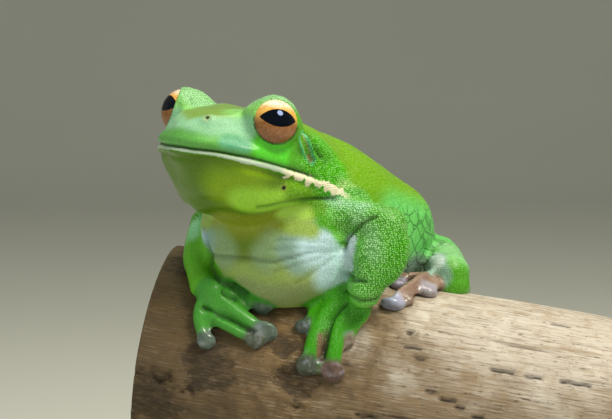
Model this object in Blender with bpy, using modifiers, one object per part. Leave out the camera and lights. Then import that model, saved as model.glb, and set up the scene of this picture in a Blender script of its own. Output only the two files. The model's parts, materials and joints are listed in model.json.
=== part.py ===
"""A white-lipped tree frog crouching on a cut branch: a still, life-size display model.

The frog faces -Y with its left side on +X, and +Z is up. The origin lies on the underside of
the display base. Sizes and places are in millimetres, and mm() turns them to metres.

The body is one lofted form, parted by thin cuts into head, lower jaw and trunk. Each limb part
is its own form, and soft parts give way to what they press on, with GAP left between any two.
"""

import math

import bmesh
import bpy
from mathutils import Matrix, Vector

OBJECT_NAME = "tree_frog"
MM = 0.001
GAP = 0.3
CUTTER_GROWTH = 0.62
CUTTER_VOXEL = 0.5
CUTTER_DETAIL = 1.0
WELD = 0.000004
PLAIN_SOLIDS = ("perch_log",)

# The branch: a straight driftwood log, cut at both ends, sloping down to the frog's left.
LOG_RADIUS = 29.0
LOG_CENTRE = (0.0, 0.0, 55.0)
LOG_HEADING = 24.0
LOG_SLOPE = -8.5
LOG_START = -39.0
LOG_END = 78.0

# The stand: a flat base and two short rods under the branch.
BASE_SIZE = (134.0, 84.0, 8.0)
BASE_CORNER = 16.0
BASE_BEVEL = 1.5
ROD_RADIUS = 3.0
ROD_PLACES = (-26.0, 56.0)

# The head's frame has its origin midway between the eyes and its axes along the frog's left,
# the snout and the crown.
HEAD_PLACE = (-2.2, -31.0, 123.4)
HEAD_TURN = -10.0
HEAD_PITCH = 15.0
HEAD_ROLL = -3.2
EYE_SPREAD = 14.6
EYE_RADIUS = 5.8
EYE_OUTWARD = 43.0
EYE_UPWARD = 8.0
BROW_SIZE = (6.3, 6.7, 6.8)
BROW_SETBACK = 1.9
BROW_RISE = 0.5
JAW_TAPER = 0.22
MOUTH_LEVEL = -9.6
THROAT_PLACE = (12.0, -21.6)
THROAT_TILT = 14.0
NECK_STATION = -19.0
TYMPANUM_SIZE = (2.8, 3.6, 1.1)
TYMPANUM_PLACE = (-8.4, -5.0)

# Sections of the head from snout to nape: station along the snout axis, half width, crown
# height, height of the widest level and chin depth, in the head's frame.
HEAD_SECTIONS = (
    (14.4, 2.4, -6.2, -8.9, -10.6),
    (13.6, 6.0, -4.2, -9.0, -12.0),
    (11.7, 9.4, -2.0, -9.2, -13.8),
    (8.8, 12.6, -0.1, -9.5, -16.2),
    (4.6, 15.4, 1.7, -9.6, -19.4),
    (-0.5, 17.4, 2.9, -9.8, -22.0),
    (-6.5, 18.4, 3.9, -10.1, -23.4),
    (-13.0, 18.7, 4.3, -10.4, -23.8),
    (-20.0, 18.8, 4.1, -11.2, -23.8),
    (-27.0, 18.4, 2.8, -11.8, -23.6),
)

# Sections of the trunk from breast to vent: y, half width, height of the back, of the widest
# level and of the belly.
TRUNK_SECTIONS = (
    (-27.6, 7.5, 98.0, 90.5, 85.0),
    (-26.0, 12.8, 102.5, 90.5, 81.0),
    (-22.0, 17.2, 109.0, 91.5, 77.6),
    (-16.0, 20.6, 117.4, 93.0, 75.8),
    (-8.0, 22.8, 120.2, 94.0, 75.2),
    (2.0, 24.3, 117.8, 93.5, 74.8),
    (12.0, 24.4, 112.8, 92.5, 74.4),
    (22.0, 23.0, 106.0, 91.0, 73.8),
    (32.0, 20.0, 98.8, 88.6, 73.4),
    (40.0, 16.4, 93.4, 86.4, 73.6),
    (48.0, 11.8, 88.0, 83.4, 74.4),
    (54.0, 7.0, 83.8, 80.6, 75.4),
    (57.0, 3.0, 80.8, 79.0, 77.0),
)

SIDES = {"left": 1.0, "right": -1.0}

# Limb paths as (x, y, z, radius), from the body outwards.
UPPER_ARM = {
    "left": ((13.0, -12.0, 98.6, 6.2), (22.0, -12.0, 99.4, 4.7)),
    "right": ((-11.4, -13.4, 99.0, 6.0), (-17.8, -13.0, 98.4, 4.2)),
}
ELBOW = {"left": (29.4, -11.0, 97.8, 4.9), "right": (-21.8, -12.6, 95.4, 4.0)}
FOREARM = {
    "left": ((29.4, -13.2, 91.5, 4.8), (26.4, -16.2, 82.6, 3.9)),
    "right": ((-17.6, -21.8, 89.2, 3.6), (-11.2, -28.8, 82.8, 3.3)),
}
FOREARM_MUSCLE_SIZE = {"left": (6.3, 4.0, 8.6), "right": (4.3, 3.4, 8.0)}
FOREARM_BROAD = (0.85, 0.53, 0.0)

THIGH = {
    "left": ((9.0, 49.0, 81.0, 7.6), (18.5, 35.0, 83.6, 6.8), (32.0, 17.0, 83.6, 4.8)),
    "right": ((-9.0, 47.0, 83.0, 7.6), (-19.5, 31.0, 89.0, 6.8), (-32.0, 9.0, 91.6, 4.8)),
}
SHANK = {
    "left": ((32.4, 16.6, 80.6, 4.7), (22.6, 36.0, 76.2, 5.0), (12.5, 60.0, 69.6, 3.4)),
    "right": ((-32.4, 8.6, 87.4, 4.7), (-23.0, 29.0, 83.6, 5.2), (-13.0, 52.0, 76.0, 3.4)),
}

# Digits lie on the log: (along, angle, lift) for each point, where along runs down its axis,
# angle turns from its top towards the viewer and lift is the height over the bark.
PAD_LIFT = 1.1
PAD_THICKNESS = 1.25
HAND_ROOT = {"left": (11.5, 33.0, 5.6, 4.2), "right": (-23.0, 45.6, 4.4, 3.4)}
FINGERS = {
    "left": (
        (((6.6, 33.0, 3.6), (2.9, 41.0, 2.2)), (0.2, 51.5), 1.5, 2.5),
        (((6.8, 39.5, 4.6), (4.3, 47.0, 3.1), (3.1, 58.0, 2.0)), (2.6, 69.4), 1.7, 2.8),
        (((9.8, 42.0, 4.7), (8.0, 52.0, 3.1), (8.3, 60.0, 2.0)), (8.9, 70.0), 1.8, 2.9),
        (((13.6, 41.0, 3.3), (12.0, 47.5, 2.2)), (10.8, 54.8), 1.4, 1.9),
    ),
    "right": (
        (((-19.5, 42.9, 3.4), (-15.5, 44.0, 2.4)), (-10.9, 45.6), 1.3, 2.2),
        (((-19.2, 49.5, 3.6), (-12.9, 54.8, 2.4)), (-8.3, 56.6), 1.8, 3.0),
        (((-21.5, 54.4, 2.9), (-16.0, 58.6, 2.0)), (-10.8, 61.8), 1.5, 2.6),
        (((-25.0, 54.5, 2.8), (-24.0, 60.5, 1.9)), (-22.2, 66.0), 1.4, 2.4),
    ),
}
FOOT_PATH = {
    "left": ((13.0, 59.5, 68.6, 3.0), (17.0, 40.0, 71.4, 2.8), (21.2, 27.0, 78.4, 2.7),
             (25.8, 17.5, 81.4, 2.8)),
    "right": ((-13.4, 51.5, 74.4, 3.0), (-17.4, 32.0, 78.4, 2.8), (-20.6, 18.0, 83.2, 2.7),
              (-23.4, 5.0, 87.2, 2.8)),
}
TOES = {
    "left": (
        (((24.2, 3.0, 3.2), (21.6, 5.5, 3.0)), (19.6, 10.5), 1.3, 2.3),
        (((25.3, 6.0, 4.0), (22.9, 15.6, 3.2), (20.8, 22.6, 2.4)), (19.4, 29.4), 1.5, 3.1),
        (((26.0, 5.0, 2.2), (24.2, 14.0, 1.8)), (22.8, 24.6), 1.3, 1.9),
        (((28.4, 0.0, 2.4), (28.8, 6.0, 1.9)), (27.0, 12.8), 1.4, 2.7),
        (((29.0, -7.0, 2.4), (31.0, -8.0, 1.8)), (31.6, -5.0), 1.4, 2.2),
    ),
    "right": (
        (((-18.5, -9.0, 2.8), (-20.2, -2.0, 1.8)), (-22.0, 5.0), 1.3, 2.3),
        (((-20.5, -10.0, 2.8), (-23.6, -2.0, 1.8)), (-26.4, 6.5), 1.4, 2.6),
        (((-21.5, -12.0, 3.0), (-26.4, -2.0, 1.9)), (-31.0, 7.5), 1.5, 2.8),
        (((-22.0, -15.0, 2.8), (-27.8, -8.0, 1.8)), (-33.4, 0.0), 1.5, 2.6),
        (((-22.0, -20.0, 2.6), (-27.4, -17.0, 1.7)), (-32.6, -10.0), 1.4, 2.4),
    ),
}

TRIANGLES = {"body": 1240, "arm": 610, "foot": 420, "thigh": 130, "shank": 110}


def mm(x, y, z):
    return Vector((x, y, z)) * MM


def clear_scene():
    for old in list(bpy.data.objects):
        bpy.data.objects.remove(old, do_unlink=True)


def collection(name):
    made = bpy.data.collections.new(name)
    bpy.context.scene.collection.children.link(made)
    return made


def material(name, colour, roughness, metallic=0.0):
    made = bpy.data.materials.new(name)
    made.use_nodes = True
    shader = made.node_tree.nodes["Principled BSDF"]
    shader.inputs["Base Color"].default_value = (*colour, 1.0)
    shader.inputs["Roughness"].default_value = roughness
    shader.inputs["Metallic"].default_value = metallic
    return made


# Frames: the head's own axes, and places on the log.


def head_frame():
    """Matrix from the head's frame (left, snout, crown) in metres to the world."""
    turn = Matrix.Rotation(math.radians(180.0 + HEAD_TURN), 4, "Z")
    pitch = Matrix.Rotation(math.radians(HEAD_PITCH), 4, "X")
    roll = Matrix.Rotation(math.radians(HEAD_ROLL), 4, "Y")
    left_is_x = Matrix.Scale(-1.0, 4, (1.0, 0.0, 0.0))
    return Matrix.Translation(mm(*HEAD_PLACE)) @ turn @ pitch @ roll @ left_is_x


def log_axes():
    """The log's axis, its side towards the viewer and its upper side, as unit vectors."""
    heading = math.radians(LOG_HEADING)
    slope = math.radians(LOG_SLOPE)
    plan = math.cos(slope)
    axis = Vector((plan * math.cos(heading), plan * math.sin(heading), math.sin(slope)))
    front = axis.cross(Vector((0.0, 0.0, 1.0))).normalized()
    return axis, front, front.cross(axis)


def on_log(along, angle, lift):
    """A point over the bark, in millimetres."""
    axis, front, upper = log_axes()
    turn = math.radians(angle)
    outward = upper * math.cos(turn) + front * math.sin(turn)
    return Vector(LOG_CENTRE) + axis * along + outward * (LOG_RADIUS + lift)


# Making meshes.


def add(mesh, name, home):
    made = bpy.data.objects.new(name, mesh)
    home.objects.link(made)
    return made


def mesh_from(work, name):
    bmesh.ops.recalc_face_normals(work, faces=work.faces)
    mesh = bpy.data.meshes.new(name)
    work.to_mesh(mesh)
    work.free()
    return mesh


def ellipsoid(radii, place, segments=20):
    """A mesh of an ellipsoid; place is the matrix that carries it to the world."""
    work = bmesh.new()
    bmesh.ops.create_uvsphere(work, u_segments=segments, v_segments=segments // 2, radius=MM)
    bmesh.ops.transform(work, matrix=place @ Matrix.Diagonal((*radii, 1.0)), verts=work.verts)
    return mesh_from(work, "ellipsoid")


def loft(rings):
    """A closed mesh through rings of the same number of points, capped at both ends."""
    work = bmesh.new()
    loops = [[work.verts.new(point) for point in ring] for ring in rings]
    count = len(loops[0])
    for near, far in zip(loops, loops[1:]):
        for i in range(count):
            j = (i + 1) % count
            work.faces.new((near[i], near[j], far[j], far[i]))
    work.faces.new(loops[0])
    work.faces.new(loops[-1])
    return mesh_from(work, "loft")


def body_ring(half_width, top, level, bottom, place, taper=0.0, count=28):
    """One egg-shaped cross-section, widest at level, as points carried to the world by place.

    taper is the part of its width that it loses on the way down from its widest level.
    """
    points = []
    for i in range(count):
        turn = math.tau * i / count
        across = math.cos(turn)
        rise = math.sin(turn)
        reach = top - level if rise > 0.0 else level - bottom
        narrowing = 1.0 - taper * max(-rise, 0.0)
        x = half_width * narrowing * math.copysign(abs(across) ** 0.82, across)
        z = level + reach * math.copysign(abs(rise) ** 0.9, rise)
        points.append(place @ mm(x, 0.0, z))
    return points


def smooth_sections(sections, steps=3):
    """Sections with more between them, on a Catmull-Rom curve through the given ones."""
    ends = [sections[0], *sections, sections[-1]]
    result = []
    for i in range(1, len(ends) - 2):
        for step in range(steps):
            t = step / steps
            result.append(tuple(
                0.5 * (2 * b + (c - a) * t + (2 * a - 5 * b + 4 * c - d) * t**2
                       + (3 * b - a - 3 * c + d) * t**3)
                for a, b, c, d in zip(*ends[i - 1:i + 3])
            ))
    result.append(tuple(sections[-1]))
    return result


def tube(path, name="tube"):
    """A mesh of a round limb or digit along (x, y, z, radius) points, with domed ends."""
    curve = bpy.data.curves.new(name, "CURVE")
    curve.dimensions = "3D"
    curve.bevel_depth = MM
    curve.bevel_resolution = 3
    curve.resolution_u = 6
    curve.use_fill_caps = True
    spline = curve.splines.new("BEZIER")
    spline.bezier_points.add(len(path) - 1)
    for point, (x, y, z, radius) in zip(spline.bezier_points, path):
        point.co = mm(x, y, z)
        point.radius = radius
        point.handle_left_type = "AUTO"
        point.handle_right_type = "AUTO"
    holder = bpy.data.objects.new(name, curve)
    bpy.context.scene.collection.objects.link(holder)
    graph = bpy.context.evaluated_depsgraph_get()
    mesh = bpy.data.meshes.new_from_object(holder.evaluated_get(graph))
    bpy.data.objects.remove(holder)
    work = bmesh.new()
    work.from_mesh(mesh)
    bmesh.ops.remove_doubles(work, verts=work.verts, dist=0.00001)
    for x, y, z, radius in (path[0], path[-1]):
        bmesh.ops.create_uvsphere(
            work, u_segments=14, v_segments=8, radius=radius * MM,
            matrix=Matrix.Translation(mm(x, y, z)),
        )
    return mesh_from(work, name)


def settle(thing):
    """Replace the object's mesh with what its modifiers make of it."""
    graph = bpy.context.evaluated_depsgraph_get()
    mesh = bpy.data.meshes.new_from_object(thing.evaluated_get(graph))
    thing.modifiers.clear()
    thing.data = mesh


def pieces_of(work):
    """The sets of faces that hang together along edges."""
    unseen = set(work.faces)
    pieces = []
    while unseen:
        piece = set()
        fresh = {unseen.pop()}
        while fresh:
            piece |= fresh
            fresh = {near for face in fresh for e in face.edges for near in e.link_faces} - piece
        unseen -= piece
        pieces.append(piece)
    return pieces


def keep_largest(thing):
    """Drop the scraps that a cut leaves beside the piece itself."""
    work = bmesh.new()
    work.from_mesh(thing.data)
    bmesh.ops.remove_doubles(work, verts=work.verts, dist=WELD)
    bmesh.ops.dissolve_degenerate(work, edges=work.edges, dist=WELD)
    pieces = sorted(pieces_of(work), key=lambda piece: sum(face.calc_area() for face in piece))
    scraps = [face for piece in pieces[:-1] for face in piece]
    bmesh.ops.delete(work, geom=scraps, context="FACES")
    loose = [v for v in work.verts if not v.link_faces]
    bmesh.ops.delete(work, geom=loose, context="VERTS")
    work.to_mesh(thing.data)
    work.free()


def triangles_in(mesh):
    return sum(len(face.vertices) - 2 for face in mesh.polygons)


def remake(thing, voxel, triangles, soften=0):
    """Make a mesh anew as one clean skin, thinned to the given number of triangles."""
    remesh = thing.modifiers.new("one skin", "REMESH")
    remesh.mode = "VOXEL"
    remesh.voxel_size = voxel * MM
    smooth = thing.modifiers.new("soften", "SMOOTH")
    smooth.factor = 0.5
    smooth.iterations = soften
    settle(thing)
    thin = thing.modifiers.new("thin out", "DECIMATE")
    thin.ratio = triangles / triangles_in(thing.data)
    settle(thing)
    keep_largest(thing)


def fuse(name, shapes, triangles, voxel):
    """One smooth closed form from overlapping meshes, in the given number of triangles."""
    work = bmesh.new()
    for shape in shapes:
        work.from_mesh(shape)
    thing = add(mesh_from(work, name), name, PARTS)
    remake(thing, voxel, triangles, soften=4)
    return thing


def cutter_from(thing, name):
    """A hidden copy of a piece, grown all round by the gap."""
    copy = add(thing.data.copy(), name, CUTTERS)
    copy.hide_render = True
    copy.display_type = "WIRE"
    grow = copy.modifiers.new("grow", "DISPLACE")
    grow.strength = CUTTER_GROWTH * MM
    grow.mid_level = 0.0
    settle(copy)
    if thing.name not in PLAIN_SOLIDS:
        remake(copy, CUTTER_VOXEL, CUTTER_DETAIL * triangles_in(thing.data))
    return copy


def cut(thing, cutter, operation="DIFFERENCE"):
    boolean = thing.modifiers.new("cut", "BOOLEAN")
    boolean.operation = operation
    boolean.solver = "EXACT"
    boolean.object = cutter
    settle(thing)
    keep_largest(thing)


def give_way(thing, *neighbours):
    """Cut each neighbour, grown by the gap, out of a piece."""
    for neighbour in neighbours:
        cut(thing, cutter_from(neighbour, f"{thing.name}_from_{neighbour.name}"))


def block(name, low, high, place):
    """A hidden box between two corners in millimetres, in the frame that place gives."""
    work = bmesh.new()
    bmesh.ops.create_cube(work, size=1.0)
    size = [(b - a) * MM for a, b in zip(low, high)]
    centre = mm(*[(a + b) / 2 for a, b in zip(low, high)])
    fit = place @ Matrix.Translation(centre) @ Matrix.Diagonal((*size, 1.0))
    bmesh.ops.transform(work, matrix=fit, verts=work.verts)
    made = add(mesh_from(work, name), name, CUTTERS)
    made.hide_render = True
    made.display_type = "WIRE"
    return made


# The body: head, lower jaw and trunk.


def whole_body():
    head = head_frame()
    head_rings = [
        body_ring(w, top, level, chin, head @ Matrix.Translation(mm(0.0, station, 0.0)), JAW_TAPER)
        for station, w, top, level, chin in smooth_sections(HEAD_SECTIONS)
    ]
    trunk_rings = [
        body_ring(w, back, level, belly, Matrix.Translation(mm(0.0, y, 0.0)))
        for y, w, back, level, belly in smooth_sections(TRUNK_SECTIONS)
    ]
    shapes = [loft(head_rings), loft(trunk_rings)]
    for side in SIDES.values():
        outward = eye_axis(side)
        centre = Vector((side * EYE_SPREAD, 0.0, BROW_RISE)) - outward * BROW_SETBACK
        shapes.append(ellipsoid(BROW_SIZE, head @ Matrix.Translation(centre * MM)))
    return fuse("body", shapes, TRIANGLES["body"], voxel=0.75)


def eye_axis(side):
    """The way an eye looks, in the head's frame."""
    out = math.radians(EYE_OUTWARD)
    up = math.radians(EYE_UPWARD)
    return Vector((
        side * math.sin(out) * math.cos(up), math.cos(out) * math.cos(up), math.sin(up)
    ))


def half_space(name, place):
    """A hidden block that fills the +Y side of the frame that place gives."""
    far = 90.0
    return block(name, (-far, 0.0, -far), (far, far, far), place)


def part_body(body):
    """Part the whole body into head, lower jaw and trunk by flat cuts of the gap's width."""
    frame = head_frame()
    half = GAP / 2
    neck = Matrix.Translation(mm(0.0, NECK_STATION, 0.0))
    rise = Matrix.Rotation(math.radians(90.0), 4, "X")
    throat = Matrix.Translation(mm(0.0, *THROAT_PLACE))
    throat = throat @ Matrix.Rotation(math.radians(-THROAT_TILT), 4, "X") @ rise
    mouth = Matrix.Translation(mm(0.0, 0.0, MOUTH_LEVEL)) @ rise
    back = Matrix.Rotation(math.pi, 4, "X")
    gap = Matrix.Translation(mm(0.0, half, 0.0))
    ahead = half_space("ahead_of_neck", frame @ neck @ gap)
    cut(ahead, half_space("above_throat", frame @ throat @ gap), "INTERSECT")
    ahead_wide = half_space("neck_gap", frame @ neck @ gap.inverted())
    cut(ahead_wide, half_space("throat_gap", frame @ throat @ gap.inverted()), "INTERSECT")
    head = add(body.data.copy(), "head", PARTS)
    jaw = add(body.data.copy(), "lower_jaw", PARTS)
    for piece, way in ((head, mouth @ gap), (jaw, mouth @ back @ gap)):
        cut(piece, ahead, "INTERSECT")
        cut(piece, half_space(f"{piece.name}_side_of_mouth", frame @ way), "INTERSECT")
    body.name = "trunk"
    cut(body, ahead_wide)
    return head, jaw, body


def eyeball(name, side):
    place = head_frame() @ Matrix.Translation(mm(side * EYE_SPREAD, 0.0, 0.0))
    return add(ellipsoid((EYE_RADIUS,) * 3, place, segments=14), name, PARTS)


def tympanum(name, side, head):
    """The ear drum: a thin oval disc let into the side of the head behind the eye."""
    frame = head_frame()
    station, height = TYMPANUM_PLACE
    inside = frame @ mm(0.0, station, height)
    outward = (frame.to_3x3() @ Vector((side, -0.2, 0.05))).normalized()
    found, point, normal, face = head.ray_cast(inside, outward)
    upward = frame.to_3x3() @ Vector((0.0, 0.0, 1.0))
    along = upward.cross(outward).normalized()
    facing = Matrix((along, outward.cross(along), outward)).transposed().to_4x4()
    place = Matrix.Translation(point - outward * 0.35 * TYMPANUM_SIZE[2] * MM) @ facing
    return add(ellipsoid(TYMPANUM_SIZE, place, segments=12), name, PARTS)


# The limbs.


def split(whole, near_name, far_name, joint, heading):
    """Part a limb at a joint by a flat cut across its heading, the gap's width thick."""
    across = Vector(heading).to_track_quat("Y", "Z").to_matrix().to_4x4()
    place = Matrix.Translation(mm(*joint[:3])) @ across
    gap = Matrix.Translation(mm(0.0, GAP / 2, 0.0))
    back = Matrix.Rotation(math.pi, 4, "X")
    far = add(whole.data.copy(), far_name, PARTS)
    cut(far, half_space(f"{far_name}_side", place @ gap), "INTERSECT")
    whole.name = near_name
    cut(whole, half_space(f"{near_name}_side", place @ back @ gap), "INTERSECT")
    return whole, far


def heading(start, end):
    return (Vector(end[:3]) - Vector(start[:3])).normalized()


def forearm_muscle(side):
    """The frog's forearm is broad and flat, so a muscle form widens the round one."""
    middle, wrist = FOREARM[side]
    down = heading(ELBOW[side], wrist)
    broad = Vector(FOREARM_BROAD)
    broad.x *= SIDES[side]
    thick = down.cross(broad).normalized()
    facing = Matrix((thick.cross(down), thick, down)).transposed().to_4x4()
    return ellipsoid(FOREARM_MUSCLE_SIZE[side], Matrix.Translation(mm(*middle[:3])) @ facing)


def digit(root, joints, pad, radius, pad_radius):
    """A finger or toe from its root to the round sticky pad at its tip, as two meshes."""
    along, angle = pad
    path = [root]
    path += [(*on_log(*joint), radius * 1.1) for joint in joints]
    path.append((*on_log(along, angle, PAD_LIFT), radius * 0.85))
    axis, front, upper = log_axes()
    turn = Matrix.Rotation(math.radians(-angle), 4, axis)
    facing = Matrix((front, axis, upper)).transposed().to_4x4()
    place = Matrix.Translation(on_log(along, angle, PAD_LIFT) * MM) @ turn @ facing
    disc = ellipsoid((pad_radius, pad_radius, PAD_THICKNESS), place, segments=16)
    return [tube(path), disc]


def arm(side, log):
    """One whole arm with its hand, parted at the wrist and the elbow."""
    along, angle, lift, radius = HAND_ROOT[side]
    palm = (*on_log(along, angle, lift), radius)
    elbow = ELBOW[side]
    upper_path = (*UPPER_ARM[side], elbow)
    lower_path = (elbow, *FOREARM[side])
    wrist = lower_path[-1]
    shapes = [tube(upper_path), tube(lower_path), forearm_muscle(side), tube((wrist, palm))]
    for joints, pad, radius, pad_radius in FINGERS[side]:
        shapes += digit((*palm[:3], palm[3] * 0.75), joints, pad, radius, pad_radius)
    whole = fuse(f"arm_{side}", shapes, TRIANGLES["arm"], voxel=0.45)
    give_way(whole, log)
    down = heading(lower_path[-2], wrist)
    rest, hand = split(whole, f"arm_{side}", f"hand_{side}", wrist, down)
    bend = heading(*upper_path[-2:]) + heading(*lower_path[:2])
    upper, lower = split(rest, f"upper_arm_{side}", f"forearm_{side}", elbow, bend)
    return upper, lower, hand


def foot(name, side):
    path = FOOT_PATH[side]
    x, y, z, radius = path[-1]
    shapes = [tube(path)]
    for joints, pad, toe_radius, pad_radius in TOES[side]:
        shapes += digit((x, y, z, radius * 0.7), joints, pad, toe_radius, pad_radius)
    return fuse(name, shapes, TRIANGLES["foot"], voxel=0.45)


def leg_part(name, path, kind):
    return fuse(name, [tube(path)], TRIANGLES[kind], voxel=0.6)


# The perch and its stand.


def log_ring(along, count=28):
    """One cross-section of the log: nearly round, with a shallow flat and two low swells."""
    points = []
    for i in range(count):
        angle = 360.0 * i / count
        turn = math.radians(angle)
        swell = 0.35 * math.sin(2.0 * turn + 0.7) + 0.25 * math.sin(3.0 * turn + along / 19.0)
        points.append(on_log(along, angle, swell) * MM)
    return points


def perch():
    count = 7
    step = (LOG_END - LOG_START) / (count - 1)
    mesh = loft([log_ring(LOG_START + step * i) for i in range(count)])
    return add(mesh, "perch_log", PARTS)


def stand(log):
    """The flat base, and two rods that stop just short of the log's underside."""
    width, depth, thickness = BASE_SIZE
    axis, front, upper = log_axes()
    middle = Vector(LOG_CENTRE) + axis * (LOG_START + LOG_END) / 2
    place = Matrix.Translation(mm(middle.x, middle.y, thickness / 2))
    place = place @ Matrix.Rotation(math.radians(LOG_HEADING), 4, "Z")
    work = bmesh.new()
    bmesh.ops.create_cube(work, size=1.0)
    size = Matrix.Diagonal((width * MM, depth * MM, thickness * MM, 1.0))
    bmesh.ops.transform(work, matrix=place @ size, verts=work.verts)
    upright = [e for e in work.edges if abs(e.verts[0].co.z - e.verts[1].co.z) > thickness * MM / 2]
    bmesh.ops.bevel(work, geom=upright, offset=BASE_CORNER * MM, segments=6, profile=0.5,
                    affect="EDGES")
    top = max(v.co.z for v in work.verts)
    rim = [e for e in work.edges if all(v.co.z > top - MM * 0.01 for v in e.verts)]
    bmesh.ops.bevel(work, geom=rim, offset=BASE_BEVEL * MM, segments=2, profile=0.5,
                    affect="EDGES")
    base = add(mesh_from(work, "stand_base"), "stand_base", PARTS)
    rods = []
    for name, along in zip(("stand_rod_low", "stand_rod_high"), ROD_PLACES):
        spot = Vector(LOG_CENTRE) + axis * along
        foot_height = thickness + GAP
        work = bmesh.new()
        bmesh.ops.create_cone(
            work, cap_ends=True, segments=16, radius1=ROD_RADIUS * MM, radius2=ROD_RADIUS * MM,
            depth=(spot.z - foot_height) * MM,
            matrix=Matrix.Translation(mm(spot.x, spot.y, (spot.z + foot_height) / 2)),
        )
        rod = add(mesh_from(work, name), name, PARTS)
        give_way(rod, log)
        rods.append(rod)
    return base, rods


def finish(thing, coat):
    thing.data.materials.clear()
    thing.data.materials.append(coat)
    thing.data.shade_smooth()
    thing.data.set_sharp_from_angle(angle=math.radians(40.0))


def build():
    green = material("green_skin", (0.10, 0.42, 0.02), 0.45)
    pale = material("throat_skin", (0.45, 0.52, 0.12), 0.5)
    bronze = material("toe_skin", (0.28, 0.17, 0.10), 0.35)
    gold = material("eye_gold", (0.55, 0.22, 0.03), 0.08)
    wood = material("weathered_wood", (0.42, 0.30, 0.18), 0.8)
    dark = material("lacquered_base", (0.03, 0.03, 0.03), 0.35)
    steel = material("steel_rod", (0.55, 0.55, 0.56), 0.3, metallic=1.0)

    log = perch()
    base, rods = stand(log)
    head, jaw, trunk = part_body(whole_body())

    limbs = []
    for side in SIDES:
        upper, lower, palm = arm(side, log)
        sole = foot(f"foot_{side}", side)
        shank = leg_part(f"shank_{side}", SHANK[side], "shank")
        thigh = leg_part(f"thigh_{side}", THIGH[side], "thigh")
        give_way(sole, log)
        give_way(shank, log, sole)
        give_way(thigh, shank, sole, log)
        give_way(lower, sole)
        give_way(trunk, palm, lower, sole, shank)
        limbs.append((upper, lower, palm, thigh, shank, sole))
    give_way(trunk, log)
    for upper, lower, palm, thigh, shank, sole in limbs:
        give_way(upper, trunk, head, jaw)
        give_way(thigh, trunk)
        for piece in (upper, lower, palm, thigh, shank):
            finish(piece, green)
        finish(sole, bronze)

    for side, sign in SIDES.items():
        eye = eyeball(f"eye_{side}", sign)
        drum = tympanum(f"tympanum_{side}", sign, head)
        give_way(head, eye, drum)
        finish(eye, gold)
        finish(drum, green)
    finish(head, green)
    finish(trunk, green)
    finish(jaw, pale)
    finish(log, wood)
    finish(base, dark)
    for rod in rods:
        finish(rod, steel)


clear_scene()
PARTS = collection(OBJECT_NAME)
CUTTERS = collection("cutters")
build()
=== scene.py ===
"""White-lipped tree frog on a cut branch: the finish of the display model, round its fixed frame.

Lengths written as plain numbers are millimetres. The frog faces -Y and its left side is on +X.
"""

import json
import math

import bmesh
import bpy
import numpy as np
from mathutils import Matrix, Vector, noise
from mathutils.bvhtree import BVHTree

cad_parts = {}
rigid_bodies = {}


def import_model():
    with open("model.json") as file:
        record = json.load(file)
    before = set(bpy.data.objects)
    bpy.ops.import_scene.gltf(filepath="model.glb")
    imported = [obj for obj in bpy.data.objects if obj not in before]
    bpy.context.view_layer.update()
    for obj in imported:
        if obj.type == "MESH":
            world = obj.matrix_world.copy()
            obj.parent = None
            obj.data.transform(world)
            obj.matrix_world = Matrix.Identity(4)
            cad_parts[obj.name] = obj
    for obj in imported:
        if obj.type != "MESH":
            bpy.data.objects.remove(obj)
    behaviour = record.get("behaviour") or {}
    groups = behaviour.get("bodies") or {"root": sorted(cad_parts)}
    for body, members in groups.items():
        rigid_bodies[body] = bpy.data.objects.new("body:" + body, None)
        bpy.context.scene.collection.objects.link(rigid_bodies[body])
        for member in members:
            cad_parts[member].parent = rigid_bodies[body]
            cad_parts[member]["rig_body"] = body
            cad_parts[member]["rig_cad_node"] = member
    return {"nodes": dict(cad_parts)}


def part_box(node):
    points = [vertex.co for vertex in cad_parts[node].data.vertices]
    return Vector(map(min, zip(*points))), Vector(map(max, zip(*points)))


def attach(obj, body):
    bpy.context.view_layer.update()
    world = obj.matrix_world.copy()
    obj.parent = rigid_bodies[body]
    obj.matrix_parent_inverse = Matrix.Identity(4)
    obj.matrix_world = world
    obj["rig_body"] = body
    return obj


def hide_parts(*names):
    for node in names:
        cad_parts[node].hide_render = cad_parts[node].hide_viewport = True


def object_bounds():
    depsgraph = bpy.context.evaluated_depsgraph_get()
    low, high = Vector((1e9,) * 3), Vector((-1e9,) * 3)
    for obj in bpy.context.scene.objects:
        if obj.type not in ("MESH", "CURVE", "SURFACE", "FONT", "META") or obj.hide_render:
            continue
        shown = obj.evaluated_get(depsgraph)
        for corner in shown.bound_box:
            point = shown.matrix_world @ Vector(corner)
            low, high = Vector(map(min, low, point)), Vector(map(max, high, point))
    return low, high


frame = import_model()
nodes = frame["nodes"]
cad_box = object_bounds()

# ----------------------------------------------------------------------
# The head and trunk. The real ones are soft flesh in one thin, moist skin with no seam. The
# frame's solids are copied here as the first of the forms that the skin is drawn over.

MM = 0.001
FLESH = [name for name in nodes if not name.startswith(("eye", "perch", "stand"))]


def select_only(*things):
    bpy.ops.object.select_all(action="DESELECT")
    for thing in things:
        thing.select_set(True)
    bpy.context.view_layer.objects.active = things[0]


def weld(thing):
    """Merge the points of a mesh that lie on each other, and face it outwards."""
    select_only(thing)
    bpy.ops.object.mode_set(mode="EDIT")
    bpy.ops.mesh.select_all(action="SELECT")
    bpy.ops.mesh.remove_doubles(threshold=0.01 * MM)
    bpy.ops.mesh.normals_make_consistent(inside=False)
    bpy.ops.object.mode_set(mode="OBJECT")


def copy_of(name):
    """A free copy of a solid of the frame, its loose triangles merged."""
    part = nodes[name].copy()
    part.data = nodes[name].data.copy()
    part.parent = None
    del part["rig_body"]
    del part["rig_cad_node"]
    part.data.materials.clear()
    bpy.context.scene.collection.objects.link(part)
    weld(part)
    return part


forms = [copy_of(name) for name in ("head", "lower_jaw", "trunk")]

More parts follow.
